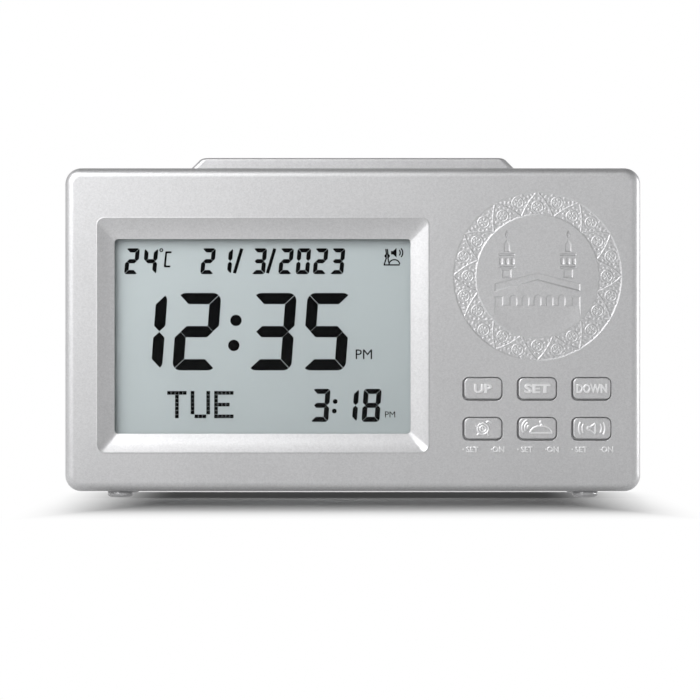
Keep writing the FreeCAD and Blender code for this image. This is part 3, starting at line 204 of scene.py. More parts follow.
world = bpy.data.worlds.new("studio")
bpy.context.scene.world = world
world.use_nodes = True
world.node_tree.nodes.clear()
tree = Wire(world.node_tree)
way = tree.node("ShaderNodeTexCoord", output="Generated")
eye, gloss, through = rays(tree)
grey = way.part("X").step(*ROOM_ASIDE).mix(ROOM_LEVEL, ROOM_RIGHT)
room = gloss.mix(ROOM_SHADE, way.part("Z").step(*ROOM_RISE).mix(grey, ROOM_ABOVE))
dim = tree.node("ShaderNodeBackground", {}, {"Color": room, "Strength": 1.0})
bright = tree.node("ShaderNodeBackground", {}, {"Color": (1, 1, 1, 1), "Strength": 1.0})
seen = tree.node("ShaderNodeMixShader", {}, {0: tree.math("MAXIMUM", eye, through), 1: dim, 2: bright})
tree.node("ShaderNodeOutputWorld", {}, {"Surface": seen})
bpy.context.scene.view_settings.view_transform = "Standard"

clock_only, floor_only = (bpy.data.collections.new(name) for name in ("clock_only", "floor_only"))
for collection, state in ((clock_only, "EXCLUDE"), (floor_only, "INCLUDE")):
    collection.objects.link(floor)
    collection.collection_objects[0].light_linking.link_state = state


def lamp(name, place, size, watts, lights, aim=(0.0, 0.0, 0.05), mirrored=True):
    """A soft rectangular lamp that faces a point of the clock and lights the clock or the floor."""
    data = bpy.data.lights.new(name, "AREA")
    data.shape = "RECTANGLE"
    data.size, data.size_y = size
    data.energy = watts
    made = bpy.data.objects.new(name, data)
    bpy.context.collection.objects.link(made)
    made.location = place
    made.rotation_euler = (Vector(aim) - made.location).to_track_quat("-Z", "Y").to_euler()
    made.visible_glossy = mirrored
    made.light_linking.receiver_collection = lights


lamp("left_bank", (-0.33, -0.37, 0.36), (0.66, 0.56), 4.3, clock_only)
lamp("top_bank", (-0.10, -0.55, 0.66), (0.90, 0.30), 0.25, clock_only)
lamp("edge_strip", (0.55, 0.04, 0.10), (0.22, 0.36), 1.5, clock_only)
lamp("rear_bank", (0.20, 0.60, 0.60), (0.60, 0.40), 2.4, clock_only, mirrored=False)
lamp("shadow_lamp", (-0.02, 0.95, 1.00), (0.40, 0.40), 43.0, floor_only, aim=(0, -0.10, 0), mirrored=False)

# ---- Front shell
# Moulded in one piece and sprayed with silver lacquer: a flat face with a soft edge, a bevelled frame sunk
# round the display with a fine raised lip, six holes for the keys, a round channel for the ornament and two
# minarets over an arcade cut into its middle. It meets the rear shell at a fine seam.

LACQUER_DARK = (0.495, 0.495, 0.503, 1)
LACQUER_LIGHT = (0.610, 0.610, 0.618, 1)
FLAKE = 0.35


def surface(name):
    """A new empty material, its node tree as a wire, and the place on the piece in millimetres."""
    made = bpy.data.materials.new(name)
    made.use_nodes = True
    made.node_tree.nodes.clear()
    tree = Wire(made.node_tree)
    place = tree.node("ShaderNodeTexCoord", output="Object")
    place = tree.node("ShaderNodeVectorMath", {"operation": "SCALE"}, {0: place, "Scale": 1 / MM})
    return made, tree, place


def noise(place, size, detail=2.0):
    """Soft noise with grains of about the given size in millimetres."""
    return place.node("ShaderNodeTexNoise", {}, {"Vector": place, "Scale": 1 / size, "Detail": detail}, "Fac")


def coat(tree, colour, roughness, bump, height, **fixed):
    """Ends a material in a Principled shader; bump is a wire and height its depth in millimetres.

    The rest are the shader's other inputs, with _ for a space.
    """
    relief = {"Height": bump, "Distance": height * MM, "Strength": 1.0}
    normal = tree.node("ShaderNodeBump", {}, relief, "Normal")
    values = {"Base Color": colour, "Roughness": roughness, "Normal": normal}
    values.update({name.replace("_", " "): value for name, value in fixed.items()})
    shader = tree.node("ShaderNodeBsdfPrincipled", {}, values)
    tree.node("ShaderNodeOutputMaterial", {}, {"Surface": shader})


silver, tree, place = surface("silver_lacquer")
flake = place.node("ShaderNodeTexVoronoi", {}, {"Vector": place, "Scale": 1 / FLAKE}, "Color")
flake = tree.node("ShaderNodeSeparateColor", {}, {0: flake}, 0)
grain = noise(place, 0.9, 3.0)
shade = flake * 0.30 + grain * 0.45 + noise(place, 30.0, 1.0) * 0.25
coat(
    tree,
    shade.step(0.1, 0.9).mix(LACQUER_DARK, LACQUER_LIGHT),
    noise(place, 6.0) * 0.08 + 0.38,
    grain * 0.6 + flake * 0.4,
    0.010,
    Metallic=0.62,
    Coat_Weight=0.12,
    Coat_Roughness=0.28,
)

CORNER = 5.2
EDGE_ROUND = 3.0
FRONT_DEPTH = 17.0
WALL = 2.2
SEAM = 0.18
LIP_ROOM = 1.1
LIP_DEPTH = 1.6
CORNER_STEPS = 14
EDGE_STEPS = 14
WELD = 0.001
RIM_SLACK = 0.002

WINDOW = (95.8, 63.0, 1.2)
WINDOW_PLACE = (-29.2, 50.1)
BEVEL_LEFT, BEVEL_RIGHT, BEVEL_TOP, BEVEL_BOTTOM = 5.2, 5.5, 6.5, 5.7
BEVEL_DEPTH = 2.6
BEVEL_CORNER = 2.1
BEVEL_HOLLOW = 0.10
LIP_WIDTH = 0.55
LIP_HEIGHT = 0.16
LENS_DEPTH = 3.4
SURROUND = 3.0

KEY_ACROSS, KEY_UP = 59.4, 26.7
KEY_PITCH, KEY_ROW_PITCH = 17.57, 12.88
KEY_SIZE = (12.1, 6.8, 1.6)
KEY_GAP = 0.35
HOLE_ROUND = 0.25
KEYS = (
    ("up", -1, 0.5),
    ("set", 0, 0.5),
    ("down", 1, 0.5),
    ("alarm", -1, -0.5),
    ("azan", 0, -0.5),
    ("sound", 1, -0.5),
)

ORNAMENT = (59.6, 69.5)
BAND_IN, BAND_OUT = 19.7, 27.3
BAND_ROOM = 0.7
BAND_SIDES = 180
ENGRAVED = 0.30
DRAFT = 0.48
MINARET_STEP = 9.9
ARCADE = (13.9, -9.2, -6.4, 19.1)
BAY_WIDTH = 2.9
ARCH = (1.35, 2.0, 3.9)
FOOT_SLOPE = 2.9


def loop(width, height, corner, across, up):
    """Points round a rectangle with round corners, seen from the front.

    Each corner is a quarter circle about its own centre; the straight sides are the steps between corners.
    """
    turn = np.linspace(0, np.pi / 2, CORNER_STEPS)
    angle = (turn + np.arange(-1, 3)[:, None] * np.pi / 2).ravel()
    side_x = np.repeat([1, 1, -1, -1], CORNER_STEPS)
    side_z = np.repeat([-1, 1, 1, -1], CORNER_STEPS)
    x = across + side_x * (width / 2 - corner) + corner * np.cos(angle)
    z = up + side_z * (height / 2 - corner) + corner * np.sin(angle)
    return np.stack([x, z], axis=-1)


def circle(radius, across, up, sides):
    """Points round a circle: across by the cosine and up by the sine of the turn."""
    turn = np.linspace(0, 2 * np.pi, sides, endpoint=False)
    return np.stack([across + radius * np.cos(turn), up + radius * np.sin(turn)], axis=-1)


def inset(outline, amount):
    """Every corner moves inwards along the mitre of its two edges, by amount square to each of them."""
    after = np.roll(outline, -1, axis=0) - outline
    after /= np.linalg.norm(after, axis=1, keepdims=True)
    inward = np.stack([-after[:, 1], after[:, 0]], axis=-1)
    before = np.roll(inward, 1, axis=0)
    return outline + amount * (inward + before) / (1 + (inward * before).sum(axis=1, keepdims=True))


def at(outline, depth):
    """An outline in the plane at a depth behind the front face, its heights from the case's underside."""
    x, z = outline[:, 0], outline[:, 1]
    return np.stack([x, np.full_like(x, FACE + depth), z + BASE], axis=-1)


def skin(rings, around=False):
    """Points and quads between successive rings: point k joins k + 1 and the same two of the next ring.

    With around, the last ring joins the first.
    """
    rings = np.asarray(rings)
    levels, count, _ = rings.shape
    k = np.arange(count)
    row = np.arange(levels if around else levels - 1)[:, None]
    here, there = row * count, (row + 1) % levels * count
    after = (k + 1) % count
    quads = np.stack([here + k, here + after, there + after, there + k], axis=-1)
    return rings.reshape(-1, 3), quads.reshape(-1, 4).tolist()


def joined(parts):
    """Several (points, faces) as one."""
    points, faces, start = [], [], 0
    for its_points, its_faces in parts:
        points.append(its_points)
        faces += [[start + i for i in face] for face in its_faces]
        start += len(its_points)
    return np.concatenate(points), faces


def piece(name, points, faces, material, body, slot, fills=(), axis=1, sharp=35):
    """A mesh object of points in millimetres, welded, filled where its rims lie level, and turned outwards.

    Each of the fills is a coordinate along the axis at which the open rims are closed by flat faces. An edge
    that turns by more than sharp, in degrees, stays crisp.
    """
    mesh = bpy.data.meshes.new(name)
    mesh.from_pydata(np.asarray(points) * MM, [], faces)
    form = bmesh.new()
    form.from_mesh(mesh)
    bmesh.ops.remove_doubles(form, verts=form.verts, dist=WELD * MM)
    for plane in fills:
        flat = {v for v in form.verts if abs(v.co[axis] - plane * MM) < RIM_SLACK * MM}
        rim = [edge for edge in form.edges if edge.is_boundary and flat.issuperset(edge.verts)]
        facing = [0, 0, 0]
        facing[axis] = -1
        bmesh.ops.triangle_fill(form, edges=rim, use_beauty=True, normal=facing)
    bmesh.ops.recalc_face_normals(form, faces=form.faces)
    form.to_mesh(mesh)
    form.free()
    mesh.shade_smooth()
    mesh.set_sharp_from_angle(angle=math.radians(sharp))
    mesh.materials.append(material)
    made = bpy.data.objects.new(name, mesh)
    bpy.context.collection.objects.link(made)
    weighted = made.modifiers.new("flat_faces", "WEIGHTED_NORMAL")
    weighted.keep_sharp = True
    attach(made, body)
    return made


def case_loop(inwards):
    """The case's outline, drawn in by a distance."""
    corner = max(CORNER - inwards, 0.4)
    return loop(CASE_WIDTH - 2 * inwards, CASE_HEIGHT - 2 * inwards, corner, 0, CASE_HEIGHT / 2)


def round_over(radius, steps=EDGE_STEPS):
    """A quarter round from a side wall on to a face, as pairs of how far in and how far behind the face.

    They are the radius times 1 less the turn's cosine, and the radius times 1 less its sine.
    """
    turn = np.linspace(0, np.pi / 2, steps)
    return list(zip(radius * (1 - np.cos(turn)), radius * (1 - np.sin(turn))))


def bevelled_window():
    """Rings from the flat face over the half-round lip, down the slightly hollow bevel and out behind it.

    The lip is half a turn of an ellipse. The bevel runs straight from its mouth to its foot, sunk by a sine.
    """
    mouth = np.array(WINDOW[:2]) + (BEVEL_LEFT + BEVEL_RIGHT, BEVEL_TOP + BEVEL_BOTTOM)
    centre = np.array(WINDOW_PLACE) + ((BEVEL_RIGHT - BEVEL_LEFT) / 2, (BEVEL_TOP - BEVEL_BOTTOM) / 2)
    rings = []
    for turn in np.linspace(0, np.pi, 9):
        out = LIP_WIDTH * (1 + np.cos(turn)) / 2
        rise = LIP_HEIGHT * np.sin(turn)
        rings.append(at(loop(*(mouth + 2 * out), BEVEL_CORNER + out, *centre), -rise))
    top = loop(*mouth, BEVEL_CORNER, *centre)
    foot = loop(*WINDOW, *WINDOW_PLACE)
    for way in np.linspace(0, 1, 7)[1:]:
        depth = BEVEL_DEPTH * (way + BEVEL_HOLLOW * np.sin(np.pi * way))
        rings.append(at(top + (foot - top) * way, depth))
    back = loop(WINDOW[0] + 2 * SURROUND, WINDOW[1] + 2 * SURROUND, BEVEL_CORNER, *WINDOW_PLACE)
    return rings + [at(foot, LENS_DEPTH), at(back, LENS_DEPTH), at(back, WALL)]


def key_hole(i, j):
    """Rings of one key's hole: a small round at the face, then straight through the wall."""
    width, height, corner = KEY_SIZE
    spot = (KEY_ACROSS + i * KEY_PITCH, KEY_UP + j * KEY_ROW_PITCH)
    rings = []
    for inwards, depth in round_over(HOLE_ROUND, 5)[::-1] + [(0, WALL)]:
        grow = KEY_GAP + inwards
        rings.append(at(loop(width + 2 * grow, height + 2 * grow, corner + grow, *spot), depth))
    return rings


def slab(width, height, across, up):
    """The corners of a rectangle about a place."""
    return np.array([(-1, -1), (1, -1), (1, 1), (-1, 1)]) * (width / 2, height / 2) + (across, up)


def arcade(across, up):
    """The sunk front under the roof and its floor: five round arches between two flat bays.

    Each arch is a half circle on two straight sides. The foot is an arc about the ornament's middle, and the
    floor rises slowly to that arc.
    """
    half, spring, head, foot = ARCADE
    radius, rise, pitch = ARCH
    inner = half - BAY_WIDTH
    turn = np.linspace(0, np.pi, 13)
    top = [(half, head), (inner, head), (inner, spring)]
    for middle in np.arange(2, -3, -1) * pitch:
        arch = np.stack([middle + radius * np.cos(turn), spring + rise + radius * np.sin(turn)], axis=-1)
        top += [(middle + radius, spring), *arch, (middle - radius, spring)]
    top += [(-inner, spring), (-inner, head), (-half, head)]
    arcs = []
    for reach, side in ((foot, half), (foot - FOOT_SLOPE, half - DRAFT)):
        turn = np.linspace(-1, 1, 40) * np.arcsin(side / reach) - np.pi / 2
        arcs.append(reach * np.stack([np.cos(turn), np.sin(turn)], axis=-1))
    outline = np.concatenate([arcs[0], top])
    floor = np.concatenate([arcs[1], inset(outline, DRAFT)[len(arcs[1]):]])
    return outline + (across, up), floor + (across, up)


def mosque():
    """Outlines cut into the middle of the ornament, each with the floor its walls slope down to.

    Two minarets stand behind a hipped roof over an arcade. Each has a spire over a cap, three openings
    between two ledges, and a shaft.
    """
    across, up = ORNAMENT
    cuts = []
    for side in (-1, 1):
        x = across + side * MINARET_STEP
        spire = [(0, 12.1), (0.65, 13.4), (0, 15.0), (-0.65, 13.4)]
        cap = [(-1.1, 7.8), (1.1, 7.8), (1.1, 10.4), (0, 12.0), (-1.1, 10.4)]
        cuts += [(np.array(spire) + (x, up), 0.25), (np.array(cap) + (x, up), DRAFT)]
        cuts.append((slab(5.4, 0.95, x, up + 7.0), 0.38))
        cuts += [(loop(1.4, 2.5, 0.6, x + step, up + 4.95), DRAFT) for step in (-1.9, 0, 1.9)]
        cuts.append((slab(5.4, 0.85, x, up + 2.95), 0.34))
        cuts.append((slab(3.2, 2.9, x, up + 0.85), DRAFT))
    roof = [(-13.9, -5.0), (0, -1.4), (13.9, -5.0), (13.9, -2.3), (0, 1.3), (-13.9, -2.3)]
    cuts.append((np.array(roof) + (across, up), DRAFT))
    return [(figure, inset(figure, draft)) for figure, draft in cuts] + [arcade(across, up)]


outside = [at(case_loop(LIP_ROOM), FRONT_DEPTH), at(case_loop(SEAM), FRONT_DEPTH)]
outside.append(at(case_loop(0), FRONT_DEPTH - SEAM))
outside += [at(case_loop(inwards), depth) for inwards, depth in round_over(EDGE_ROUND)]
inside = [at(case_loop(WALL), WALL), at(case_loop(WALL), FRONT_DEPTH - LIP_DEPTH)]
inside.append(at(case_loop(LIP_ROOM), FRONT_DEPTH - LIP_DEPTH))
shell = [skin(inside + outside), skin(bevelled_window())]
shell += [skin(key_hole(i, j)) for _, i, j in KEYS]
channel = ((BAND_OUT, 0), (BAND_OUT, BAND_ROOM), (BAND_IN, BAND_ROOM), (BAND_IN, 0))
shell.append(skin([at(circle(radius, *ORNAMENT, BAND_SIDES), depth) for radius, depth in channel]))
shell += [skin([at(figure, 0), at(floor_line, ENGRAVED)]) for figure, floor_line in mosque()]
levels = [FACE + depth for depth in (0, ENGRAVED, WALL)]
front = piece("front_shell", *joined(shell), silver, "case", "silver_shell", fills=levels, sharp=24)
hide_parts("front_case")

# ---- Ornament band
# A round band of leaf work round the two minarets, moulded with the shell: twelve pointed folds between two
# rims, a small flower in each cell and fine leaves round it, all sunk below the face.

FOLDS = 12
BAND_STEPS = (1180, 64)
BAND_CLEAR = 0.1
BAND_DEPTH = 0.17
FOLD_HALF = 0.34
CELL_PLACE = (0.64, 0.36)
FLOWER = 1.35
FLOWER_RIM = 1.75
HEART_HALF, RING_HALF = 0.34, 0.26
LEAVES = 6
LEAF_TWIST = 2.3
PETAL_PLACE, PETAL_HALF = 0.62, 0.5
PETAL_RISE, MIDDLE_RISE, RIM_RISE, LEAF_RISE = 0.75, 0.80, 0.75, 0.62
RIM_STEPS, RIM_HEIGHTS = (0, 0.34, 0.5), (1, 0.35, 0)


def ridge(distance, half_width):
    """A round-topped ridge: 1 on its line, less the square of the distance's share of the half width."""
    return np.clip(1 - (distance / half_width) ** 2, 0, 1)


def leaf_work(radius, turn):
    """Height of the band's relief, from 0 on its floor to 1.

    The folds are a triangle wave between the rims. In each cell a flower is the cosine of its petals' turn,
    and the leaves outside it are where two opposite spirals, each a sine of turn and distance, have the same
    sign. The highest form at a place counts, and all of them fade out at the two rims.
    """
    span = BAND_OUT - BAND_IN
    out = (radius - BAND_IN) / span
    fold = turn * FOLDS / (2 * np.pi)
    zigzag = np.abs(2 * (fold % 1) - 1)
    slope = np.hypot(1, span * FOLDS / (np.pi * radius))
    height = ridge((out - zigzag) * span / slope, FOLD_HALF)
    outer = out > zigzag
    centre = np.where(outer, np.floor(fold) + 0.5, np.round(fold)) * 2 * np.pi / FOLDS
    middle = BAND_IN + span * np.where(outer, *CELL_PLACE)
    away, along = radius - middle, radius * (turn - centre)
    reach, spin = np.hypot(away, along), np.arctan2(along, away)
    petals = np.abs(np.cos(spin * LEAVES / 2)) * ridge(reach - FLOWER * PETAL_PLACE, FLOWER * PETAL_HALF)
    spirals = np.sin(LEAVES * spin + LEAF_TWIST * reach) * np.sin(LEAVES * spin - LEAF_TWIST * reach)
    leaves = np.sqrt(np.clip(spirals, 0, 1)) * (reach > FLOWER_RIM)
    heart = ridge(reach, HEART_HALF)
    ring = ridge(reach - FLOWER_RIM, RING_HALF)
    for part in (petals * PETAL_RISE, heart * MIDDLE_RISE, ring * RIM_RISE, leaves * LEAF_RISE):
        height = np.maximum(height, part)
    rims = np.minimum(radius - BAND_IN, BAND_OUT - radius)
    fade = np.clip(rims / RIM_STEPS[2], 0, 1)
    return np.maximum(height * fade, np.interp(rims, RIM_STEPS, RIM_HEIGHTS))


round_steps = np.linspace(0, 2 * np.pi, BAND_STEPS[0], endpoint=False)
turn, radius = np.meshgrid(round_steps, np.linspace(BAND_IN, BAND_OUT, BAND_STEPS[1]))
across = ORNAMENT[0] + radius * np.cos(turn)
up = ORNAMENT[1] + BASE + radius * np.sin(turn)
deep = BAND_DEPTH * (1 - leaf_work(radius, turn))
band = np.stack([across, FACE + deep, up], axis=-1)
back = band[[-1, 0]].copy()
back[:, :, 1] = FACE + BAND_ROOM - BAND_CLEAR
ornament = skin(np.concatenate([band, back]), around=True)
piece("ornament_band", *ornament, silver, "case", "silver_shell", sharp=80)

# ---- Display
# A clear sheet lies behind the bevelled frame. Behind it a liquid crystal glass shows black segments on pale
# grey. A milky sheet lights it from behind, and rubber strips join it to the main board in a black frame.


def dress(material, *nodes):
    """Gives CAD nodes a material."""
    for node in nodes:
        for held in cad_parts[node].material_slots:
            held.material = material


def speckled(name, size, dark, light, rough, depth, detail=2.0, **fixed):
    """A finish whose colour, roughness and relief follow one soft noise with grains of the given size.

    Where the noise is 0 the colour is dark and the roughness is the first of rough. Where it is 1 the colour
    is light and the second of rough is added.
    """
    made, tree, place = surface(name)
    grain = noise(place, size, detail)
    coat(tree, grain.mix((*dark, 1), (*light, 1)), grain * rough[1] + rough[0], grain, depth, **fixed)
    return made


clear, tree, place = surface("clear_sheet")
see_through = tree.node("ShaderNodeBsdfTransparent", {}, {"Color": (0.97, 0.98, 0.98, 1)})
haze = noise(place, 12.0).step(0.3, 0.8) * 0.05 + 0.04
polish = tree.node("ShaderNodeBump", {}, {"Height": noise(place, 25.0), "Distance": 0.02 * MM}, "Normal")
gloss = tree.node("ShaderNodeBsdfGlossy", {}, {"Color": (1, 1, 1, 1), "Roughness": haze, "Normal": polish})
facing = tree.node("ShaderNodeLayerWeight", {}, {"Blend": 0.12}, "Fresnel")
sheet = tree.node("ShaderNodeMixShader", {}, {0: facing * 0.9, 1: see_through, 2: gloss})
tree.node("ShaderNodeOutputMaterial", {}, {"Surface": sheet})
dress(clear, "display_window")

GLASS_PALE = (0.674, 0.716, 0.729, 1)
GLASS_DEEP = (0.664, 0.706, 0.718, 1)

glass, tree, place = surface("liquid_crystal")
cloud = noise(place, 40.0, 1.0)
film = noise(place, 0.25, 1.0)
colour = (cloud * 0.8 + film * 0.2).step(0.25, 0.75).mix(GLASS_DEEP, GLASS_PALE)
coat(tree, colour, film * 0.06 + 0.30, film, 0.004, Specular_IOR_Level=0.3)
dress(glass, "lcd_glass")

milky = speckled(
    "milky_sheet", 0.6, (0.78, 0.80, 0.80), (0.90, 0.91, 0.91), (0.45, 0.1), 0.02, Subsurface_Weight=0.2
)
dress(milky, "light_guide")

matt_black = speckled("black_frame", 0.35, (0.012, 0.012, 0.013), (0.028, 0.028, 0.030), (0.50, 0.15), 0.03)
dress(matt_black, "lcd_frame")

layered, tree, place = surface("layered_rubber")
stack = {"Vector": place, "Scale": 1.6, "Distortion": 0.3}
layers = tree.node("ShaderNodeTexWave", {"bands_direction": "X"}, stack)
dust = noise(place, 0.5)
colour = layers.step(0.35, 0.65).mix((0.02, 0.02, 0.02, 1), (0.55, 0.33, 0.36, 1))
coat(tree, colour, dust * 0.1 + 0.6, dust, 0.02)
dress(layered, "contact_strips")

ink = ((0.0012, 0.0012, 0.0014), (0.0035, 0.0035, 0.0040))
crystal_black = speckled("crystal_black", 3.0, *ink, (0.40, 0.08), 0.004, Specular_IOR_Level=0.02)

DISPLAY_LEFT, DISPLAY_FOOT = WINDOW_PLACE[0] - WINDOW[0] / 2, WINDOW_PLACE[1] - WINDOW[1] / 2
SEGMENT_LIFT = 0.06
SEGMENT_SHEET = 0.04
NUMERALS = {
    "0": "abcdef",
    "1": "bc",
    "2": "abdeg",
    "3": "abcdg",
    "4": "bcfg",
    "5": "acdfg",
    "8": "abcdefg",
}


def numeral(sign, width, height, stroke, corner, gap, slant, across, up):
    """The outlines of one seven-segment numeral, mitred, with round corners and pointed middle ends.

    Each segment is drawn upright and leans by its height times the tangent of the slant. The right ones
    mirror the left ones, and the lower ones mirror the upper ones.
    """
    turn = np.radians(np.linspace(135, 90, 6)) - gap / (2 * corner)
    bend = np.stack([corner + corner * np.cos(turn), height - corner + corner * np.sin(turn)], axis=-1)
    half = gap * 0.7
    middle = height / 2
    top = np.concatenate([bend, (width, height) + (bend[::-1] - (0, height)) * (-1, 1)])
    top = np.concatenate([top, [(width - stroke - half, height - stroke), (stroke + half, height - stroke)]])
    turn = np.radians(np.linspace(135, 180, 6)) + gap / (2 * corner)
    bend = np.stack([corner + corner * np.cos(turn), height - corner + corner * np.sin(turn)], axis=-1)
    waist = middle + stroke / 2 + half
    ends = [(0, waist), (stroke / 2, middle + half), (stroke, waist)]
    left = np.concatenate([bend, ends, [(stroke, height - stroke - half)]])
    reach = stroke / 2
    bar = [(reach, 0), (2 * reach, reach), (width - 2 * reach, reach)]
    bar += [(width - reach, 0), (width - 2 * reach, -reach), (2 * reach, -reach)]
    shapes = {
        "a": top,
        "d": top * (1, -1) + (0, height),
        "f": left,
        "b": left * (-1, 1) + (width, 0),
        "e": left * (1, -1) + (0, height),
        "c": left * -1 + (width, height),
        "g": np.array(bar) + (0, middle),
    }
    lean = math.tan(math.radians(slant))
    outlines = []
    for name in NUMERALS[sign]:
        x, z = shapes[name].T
        outlines.append(np.stack([across + x + lean * z, up + z], axis=-1))
    return outlines


def drawn(points, spacing=0.12):
    """Points spaced evenly along a line through the given points."""
    points = np.asarray(points, float)
    reach = np.concatenate([[0], np.cumsum(np.linalg.norm(np.diff(points, axis=0), axis=1))])
    stops = np.linspace(0, reach[-1], max(int(reach[-1] / spacing), 2) + 1)
    return np.stack([np.interp(stops, reach, points[:, i]) for i in (0, 1)], axis=-1)


def bow(across, up, radius, start, end, rise=None, steps=20):
    """Points on an arc between two angles in degrees; rise is its upright radius where it isn't round."""
    turn = np.radians(np.linspace(start, end, steps))
    return np.stack([across + radius * np.cos(turn), up + (rise or radius) * np.sin(turn)], axis=-1)


def stripe(path, width):
    """The outline of a flat line: each point of the path steps aside by half the width, square to it."""
    way = np.gradient(np.asarray(path, float), axis=0)
    way /= np.linalg.norm(way, axis=1, keepdims=True)
    aside = np.stack([-way[:, 1], way[:, 0]], axis=-1) * width / 2
    return np.concatenate([path - aside, (path + aside)[::-1]])


def plates(outlines, front, sheet):
    """Thin flat forms: each outline as a face at the front depth, the same behind it, and a rim of quads."""
    parts = []
    for outline in outlines:
        count = len(outline)
        points, quads = skin([at(outline, front), at(outline, front + sheet)])
        parts.append((points, quads + [list(range(count)), list(range(2 * count - 1, count - 1, -1))]))
    return joined(parts)


def on_glass(outlines):
    """Outlines measured from the display window's lower left corner, as places on the case."""
    return [outline + (DISPLAY_LEFT, DISPLAY_FOOT) for outline in outlines]


LARGE = dict(width=14.1, height=25.1, stroke=3.62, corner=2.7, gap=0.15, slant=4.3, up=20.5)
MIDDLE = dict(width=5.8, height=10.7, stroke=1.62, corner=1.1, gap=0.11, slant=4.3, up=3.8)
SMALL = dict(width=4.4, height=8.4, stroke=1.35, corner=0.9, gap=0.10, slant=5.0, up=51.7)
HOUR = (("1", 1.1), ("2", 18.5), ("3", 43.0), ("5", 60.6))
PRAYER_TIME = (("3", 63.3), ("1", 72.6), ("8", 79.9))
DEGREES = (("2", 2.9), ("4", 8.9))
DATE = (("2", 27.6), ("1", 33.2), ("3", 44.2), ("2", 52.9), ("0", 58.5), ("2", 64.1), ("3", 69.6))
LCD_DEPTH = box("lcd_glass")[0][1] - FACE

shown = []
for size, row in ((LARGE, HOUR), (MIDDLE, PRAYER_TIME), (SMALL, DEGREES + DATE)):
    for sign, across in row:
        shown += numeral(sign, across=across, **size)
# The colons of both times, the strokes of the date and the sign for degrees.
shown += [circle(1.85, 39.2, 36.7, 24), circle(1.85, 38.5, 28.6, 24)]
shown += [circle(0.78, 71.4, 10.4, 20), circle(0.78, 71.1, 7.3, 20)]
for across in (38.7, 49.4):
    shown.append(stripe(drawn([(across, 52.0), (across + 2.4, 60.0)]), 1.05))
shown.append(stripe(bow(15.0, 59.5, 0.45, 0, 360), 0.36))
shown.append(stripe(drawn([(18.3, 58.8), (16.6, 58.8), (16.1, 54.2), (17.9, 54.2)]), 0.62))

DOT_PITCH = 1.27
DOT_SIDE = 1.22
DOT_CORNER = 0.12
LETTER_PITCH = 7.62
WEEKDAY_LEFT, WEEKDAY_TOP = 17.5, 13.2
WEEKDAY = (
    "11111 00100 00100 00100 00100 00100 00100",
    "10001 10001 10001 10001 10001 10001 01110",
    "11111 10000 10000 11110 10000 10000 11111",
)
for k, letter in enumerate(WEEKDAY):
    rows = np.array([[c == "1" for c in row] for row in letter.split()])
    down, right = np.nonzero(rows)
    for j, i in zip(down, right):
        spot = (WEEKDAY_LEFT + k * LETTER_PITCH + i * DOT_PITCH, WEEKDAY_TOP - j * DOT_PITCH)
        shown.append(loop(DOT_SIDE, DOT_SIDE, DOT_CORNER, *spot)[:: CORNER_STEPS // 2])

# A minaret, the ground, a dome, and a horn with two waves.
shown += [
    stripe(drawn([(87.3, 54.9), (88.0, 57.0), (87.5, 57.6), (88.0, 58.2), (87.8, 59.9)]), 0.4),
    stripe(drawn([(88.9, 54.9), (88.5, 57.0), (89.0, 57.6), (88.5, 58.2), (88.3, 59.9)]), 0.4),
    stripe(drawn([(87.1, 54.7), (92.3, 54.7)]), 0.42),
    stripe(np.concatenate([bow(90.6, 54.9, 1.7, 180, 100, 1.5), bow(90.6, 54.9, 1.7, 80, 0, 1.5)]), 0.4),
    np.array([(89.5, 58.1), (90.2, 58.1), (91.3, 57.1), (91.3, 60.2), (90.2, 59.2), (89.5, 59.2)]),
    stripe(bow(91.2, 58.65, 1.3, -42, 42), 0.4),
    stripe(bow(91.2, 58.65, 2.1, -42, 42), 0.4),
]
points, faces = plates(on_glass(shown), LCD_DEPTH - SEGMENT_LIFT, SEGMENT_SHEET)
piece("display_segments", points, faces, crystal_black, "case", "black_frame")


def letters(words, height, across, up, front, rise, bevel=0.0, width=None):
    """Words as a solid of the given capital height, and width if one is given, centred on a place.

    The built-in typeface is drawn flat. Its upward way becomes height on the case, and its thickness, brought
    to 1 either way, becomes a rise before the front depth and as much behind it.
    """
    curve = bpy.data.curves.new("letters", "FONT")
    curve.body = words
    curve.extrude = 0.02
    curve.bevel_depth = bevel
    curve.bevel_resolution = 1
    curve.resolution_u = 3
    drawing = bpy.data.objects.new("letters", curve)
    bpy.context.collection.objects.link(drawing)
    bpy.context.view_layer.update()
    mesh = bpy.data.meshes.new_from_object(drawing)
    bpy.data.objects.remove(drawing)
    points = np.empty(3 * len(mesh.vertices))
    mesh.vertices.foreach_get("co", points)
    x, y, z = points.reshape(-1, 3).T
    faces = [list(face.vertices) for face in mesh.polygons]
    bpy.data.meshes.remove(mesh)
    scale = height / np.ptp(y)
    x = across + (x - (x.max() + x.min()) / 2) * (width / np.ptp(x) if width else scale)
    y = up + (y - (y.max() + y.min()) / 2) * scale + BASE
    return np.stack([x, FACE + front - rise * z / z.max(), y], axis=-1), faces


parts = []
middle = LCD_DEPTH - SEGMENT_LIFT + SEGMENT_SHEET / 2
for height, across, up in ((3.15, 80.7, 25.7), (1.95, 89.2, 6.2)):
    parts.append(letters("PM", height, DISPLAY_LEFT + across, DISPLAY_FOOT + up, middle, SEGMENT_SHEET / 2))
piece("display_words", *joined(parts), crystal_black, "case", "black_frame")

# ---- Boards
# Glass-fibre boards under green solder mask, with thin copper tracks beneath it, carry a controller, a voice
# memory, a watch crystal, a capacitor and a bead that feels the temperature. Screws hold them to posts.

TRACKS = 0.38
PATCHES = 0.16
PADS = 0.30
CAPACITOR_STRIPE = (38.9, 39.0)

